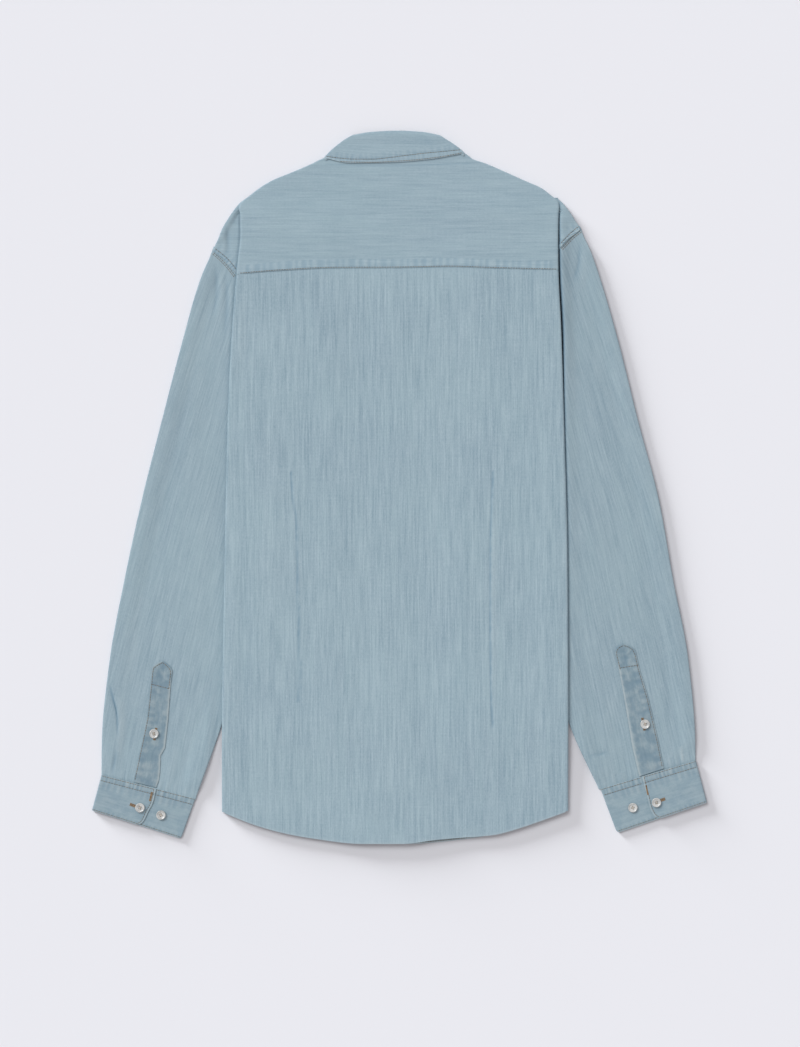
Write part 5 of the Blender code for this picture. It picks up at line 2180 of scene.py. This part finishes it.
@dataclass
class Buttons:
    """Pearly four-hole buttons sewn on with pale thread, modelled once and copied."""

    room: Workroom
    radius: float = 5.4
    height: float = 2.4
    hole_radius: float = 0.75
    hole_spread: float = 1.35
    rim: float = 1.15
    rim_slope: float = 0.75
    dish: float = 0.55
    edge_round: float = 0.5
    strand_radius: float = 0.26
    strand_length: float = 2.3

    def model(self) -> Item:
        """Turn one button with its face up and its lower face at 0.

        Returns:
            The master button.
        """
        deselect_all()
        bpy.ops.mesh.primitive_cylinder_add(
            vertices=40, radius=self.radius * MM, depth=self.height * MM,
            location=(0, 0, self.height / 2 * MM),
        )
        item = bpy.context.active_object
        item.name = "button_master"
        bpy.ops.object.transform_apply(location=True, rotation=True, scale=True)
        bpy.ops.object.mode_set(mode="EDIT")
        bpy.ops.mesh.select_all(action="DESELECT")
        bpy.ops.object.mode_set(mode="OBJECT")
        for face in item.data.polygons:
            face.select = face.normal.z > 0.9
        bpy.ops.object.mode_set(mode="EDIT")
        bpy.ops.mesh.inset(thickness=self.rim * MM)
        bpy.ops.mesh.inset(thickness=self.rim_slope * MM)
        bpy.ops.transform.translate(value=(0, 0, -self.dish * MM))
        bpy.ops.object.mode_set(mode="OBJECT")
        apply_modifier(item, "BEVEL", width=self.edge_round * MM, segments=3, limit_method="ANGLE")
        for turn in range(4):
            angle = math.radians(45 + 90 * turn)
            out = self.hole_spread * math.cos(angle) * MM, self.hole_spread * math.sin(angle) * MM
            deselect_all()
            bpy.ops.mesh.primitive_cylinder_add(
                vertices=14, radius=self.hole_radius * MM, depth=6 * MM, location=(*out, 1.2 * MM)
            )
            drill = bpy.context.active_object
            apply_modifier(item, "BOOLEAN", operation="DIFFERENCE", object=drill, solver="EXACT")
            bpy.data.objects.remove(drill, do_unlink=True)
        select_only(item)
        bpy.ops.object.shade_smooth_by_angle(angle=math.radians(35))
        item.data.materials.clear()
        item.data.materials.append(self.room.finishes.pearl)
        return item

    def thread(self) -> Item:
        """Model the thread through the holes, two bars of three strands.

        Returns:
            The master thread.
        """
        parts = []
        for bar in (-1, 1):
            for strand in (-1, 0, 1):
                across = bar * 0.95 + strand * 0.34
                up = self.height - 0.38 + 0.05 * strand
                deselect_all()
                bpy.ops.mesh.primitive_cylinder_add(
                    vertices=8, radius=self.strand_radius * MM, depth=self.strand_length * MM,
                    location=(0, across * MM, up * MM),
                    rotation=(0, math.pi / 2, 0),
                )
                part = bpy.context.active_object
                bpy.ops.object.transform_apply(location=True, rotation=True, scale=True)
                apply_modifier(part, "BEVEL", width=0.12 * MM, segments=2)
                parts.append(part)
        thread = parts[0]
        join_into(thread, parts)
        bpy.ops.object.shade_smooth_by_angle(angle=math.radians(40))
        thread.data.materials.clear()
        thread.data.materials.append(self.room.finishes.white)
        return thread

    def place(self, master: Item, node: str, name: str, turn: float, face_down: bool) -> Item:
        """Copy the master to a packed button's place.

        Args:
            master: The model.
            node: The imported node.
            name: The new piece's name.
            turn: Turn about the button's own axis in degrees.
            face_down: Whether its face is towards the table.

        Returns:
            The copy, with its place in its mesh.
        """
        low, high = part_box(node)
        copy = bpy.data.objects.new(name, master.data.copy())
        bpy.context.scene.collection.objects.link(copy)
        angle = math.radians(turn)
        for vertex in copy.data.vertices:
            x, y, z = vertex.co
            if face_down:
                x, z = -x, self.height * MM - z
            vertex.co = (
                (low[0] + high[0]) / 2 + x * math.cos(angle) - y * math.sin(angle),
                (low[1] + high[1]) / 2 + x * math.sin(angle) + y * math.cos(angle),
                low[2] + z,
            )
        copy.data.update()
        return copy

    def make(self) -> None:
        """Sew on every button."""
        master, thread = self.model(), self.thread()
        turns = {
            "placket_button_left": 8.0, "placket_button_right": -12.0, "cuff_button_left_1": -15.0,
            "cuff_button_left_2": 33.0, "cuff_button_right_1": 20.0, "cuff_button_right_2": -28.0,
        }
        nodes = [f"front_button_{index + 1}" for index in range(7)] + ["stand_button", *turns]
        for index, node in enumerate(nodes):
            face_down = node not in turns
            turn = turns.get(node, 17.0 * index)
            button = self.place(master, node, f"pearl_{node}", turn, face_down)
            self.room.keep(button, [node], "button")
            strands = self.place(thread, node, f"thread_{node}", turn, face_down)
            self.room.keep(strands, [], "button")
        for item in (master, thread):
            bpy.data.objects.remove(item, do_unlink=True)


@dataclass
class Stitching:
    """All the rows of stitches, buttonholes and bar tacks, sewn on the finished cloth."""

    room: Workroom
    needle: Needle = field(default_factory=Needle)

    def sew(self, name: str, rows: Sequence[Array], on: Sequence[str], below: bool = False) -> Item:
        """Sew rows in the shirt's brown thread.

        Args:
            name: The piece's name.
            rows: Lines in plan.
            on: Pieces that they are sewn on.
            below: Whether they are sewn from below.

        Returns:
            The piece.
        """
        ground = Ground([self.room.made[piece] for piece in on], below)
        item = self.needle.sew(name, rows, ground, self.room.finishes.thread)
        return self.room.keep(item, [], "denim")

    def satin(self, name: str, spots: Table, on: Sequence[str]) -> Item:
        """Buttonholes and bar tacks, as close short stitches across a line.

        Args:
            name: The piece's name.
            spots: For each, its two ends in plan and its width.
            on: Pieces that it is sewn on.

        Returns:
            The piece.
        """
        ground = Ground([self.room.made[piece] for piece in on])
        rows = []
        for start_x, start_y, stop_x, stop_y, width in spots:
            start, stop = np.array([start_x, start_y]), np.array([stop_x, stop_y])
            ahead = (stop - start) / np.hypot(*(stop - start))
            side = np.array([-ahead[1], ahead[0]])
            count = max(int(np.hypot(*(stop - start)) / 0.42), 3)
            for index in range(count):
                middle = start + (stop - start) * (index + 0.5) / count
                rows.append(np.array([middle - side * width / 2, middle + side * width / 2]))
        fine = Needle(length=1.0, gap=0.02, radius=0.24, sunk=0.05)
        item = fine.sew(name, rows, ground, self.room.finishes.orange)
        return self.room.keep(item, [], "denim")

    def hem_row(self, body: Body, column: int, start: float, stop: float, rise: float) -> Array:
        """Draw a row that follows a hem.

        Args:
            body: The body with the hem.
            column: The hem's column in its table.
            start: Place across where the row starts.
            stop: Place across where it ends.
            rise: Distance above the edge.

        Returns:
            Points of the row.
        """
        x = np.linspace(start, stop, 120)
        y = body.hem_height(x, np.zeros_like(x), column) + rise
        return curve_through(list(zip(x, y)))

    def make(
        self, body: Body, collar: Collar, cuffs: Sequence[Cuff], plackets: Sequence[SleevePlacket]
    ) -> None:
        """Sew the whole shirt.

        Args:
            body: The back, yoke and fronts.
            collar: The collar.
            cuffs: Both cuffs.
            plackets: Both sleeve plackets, in the same order.
        """
        seam = curve_through(self.room.pattern.yoke_seam)
        inside = (seam[:, 0] > -184) & (seam[:, 0] < 180)
        self.sew("yoke_seam_thread", [beside(seam, 0.8)[inside]], ["yoke_panel"])
        for side in Side:
            label = side.label
            self.sew(f"armhole_thread_{label}", body.armhole(side), ["yoke_panel", f"sleeve_cloth_{label}"])
        self.sew("collar_thread", collar.fall_rows(), ["collar_fall"])
        self.sew("front_hem_thread_left", [self.hem_row(body, 2, 0.0, 14.0, 1.5)], ["front_panel_right"])
        self.sew("front_hem_thread_right", [self.hem_row(body, 2, 8.0, 96.0, 1.5)], ["front_panel_right"])
        fronts = ["front_panel_left", "front_panel_right"]
        self.sew("front_band_thread", [
            curve_through([(12.4, -405.0), (12.4, 238.0)]), curve_through([(-13.0, -403.0), (-13.0, 236.0)]),
        ], ["front_panel_left"], below=True)
        self.sew("front_hem_thread", [self.hem_row(body, 2, -150.0, 145.0, 5.0)], fronts, below=True)
        for cuff, placket in zip(cuffs, plackets):
            label = cuff.side.label
            self.sew(f"cuff_thread_{label}", cuff.seams(), [f"cuff_band_{label}"])
            outer, inner = placket.outline(placket.row_inset)
            point = inner[inner[:, 1] > placket.cross()[-1, 1] - 3.0]
            self.sew(f"placket_thread_{label}", [outer, point, placket.cross()], [f"placket_strip_{label}"])
        self.satin("buttonholes_left", [
            (-309.6, -365.0, -302.0, -367.8, 3.4), (-284.4, -351.0, -286.8, -361.6, 2.2),
            (-279.4, -277.4, -281.8, -291.6, 3.0),
        ], ["cuff_band_left", "placket_strip_left"])
        self.satin("buttonholes_right", [
            (305.2, -358.8, 297.0, -361.8, 3.6), (283.2, -343.2, 285.4, -354.4, 1.8),
            (279.0, -265.8, 281.6, -280.4, 3.0),
        ], ["cuff_band_right", "placket_strip_right"])


@dataclass
class Studio:
    """Pale floor, soft lights and a camera straight above."""

    finishes: Wardrobe
    look_at: tuple[float, float] = (0.0006, -0.0426)
    distance: float = 3.5
    tall: float = 1.204
    floor_size: float = 14.0
    lamp_colour: tuple[float, float, float] = (0.965, 1.0, 1.015)
    world_colour: Colour = (1.0, 0.975, 0.985, 1.0)
    world_strength: float = 0.55

    def lamp(
        self, name: str, azimuth: float, elevation: float, softness: float, strength: float
    ) -> Item:
        """A broad even light from one direction.

        Args:
            name: Its name.
            azimuth: Direction it stands in, from +X towards +Y, in degrees.
            elevation: Its height as an angle in degrees.
            softness: How wide it looks from the shirt, in degrees.
            strength: Its strength.

        Returns:
            The light.
        """
        data = bpy.data.lights.new(name, "SUN")
        data.energy = strength
        data.color = self.lamp_colour
        data.angle = math.radians(softness)
        item = bpy.data.objects.new(name, data)
        bpy.context.scene.collection.objects.link(item)
        a, e = math.radians(azimuth), math.radians(elevation)
        towards = Vector((math.cos(a) * math.cos(e), math.sin(a) * math.cos(e), math.sin(e)))
        item.location = towards * 3.0
        item.rotation_euler = (-towards).to_track_quat("-Z", "Y").to_euler()
        return item

    def make(self) -> None:
        """Build the set."""
        deselect_all()
        bpy.ops.mesh.primitive_plane_add(size=self.floor_size, location=(0, 0, 0))
        floor = bpy.context.active_object
        floor.name = "pale_floor"
        floor.data.materials.append(self.finishes.floor)
        floor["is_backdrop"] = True
        world = bpy.data.worlds.new("studio")
        bpy.context.scene.world = world
        world.use_nodes = True
        sky = world.node_tree.nodes["Background"]
        sky.inputs[0].default_value = self.world_colour
        sky.inputs[1].default_value = self.world_strength
        low = self.lamp("low_key", 136.0, 6.4, 17.0, 10.6)
        self.lamp("soft_key", 135.0, 42.0, 30.0, 1.65)
        bpy.context.scene.view_settings.view_transform = "Standard"
        only_floor = bpy.data.collections.new("floor_only")
        only_floor.objects.link(floor)
        low.light_linking.receiver_collection = only_floor
        data = bpy.data.cameras.new("camera")
        data.sensor_fit = "VERTICAL"
        data.angle = 2 * math.atan(self.tall / 2 / self.distance)
        data.clip_end = 50.0
        camera = bpy.data.objects.new("camera", data)
        bpy.context.scene.collection.objects.link(camera)
        camera.location = (self.look_at[0], self.look_at[1], self.distance)
        bpy.context.scene.camera = camera


def main() -> list[list[float]]:
    """Build the shirt and its set.

    Returns:
        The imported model's box.
    """
    logging.basicConfig(level=logging.INFO, format="%(name)s %(message)s")
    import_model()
    packed = [list(map(float, corner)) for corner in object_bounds()]
    deselect_all()
    finishes = Wardrobe()
    room = Workroom(ShirtPattern(), finishes)
    body = Body(room)
    body.make_back()
    body.make_yoke()
    for side in Side:
        body.make_front(side)
    collar = Collar(room)
    collar.make_leaf()
    collar.make_stand()
    cuffs, plackets = [], []
    for side in Side:
        Sleeve(room, side).make()
        cuffs.append(Cuff(room, side))
        cuffs[-1].make()
        plackets.append(SleevePlacket(room, side))
        plackets[-1].make()
    Buttons(room).make()
    Stitching(room).make(body, collar, cuffs, plackets)
    Studio(finishes).make()
    return packed


if __name__ == "__main__":
    packed_box = main()
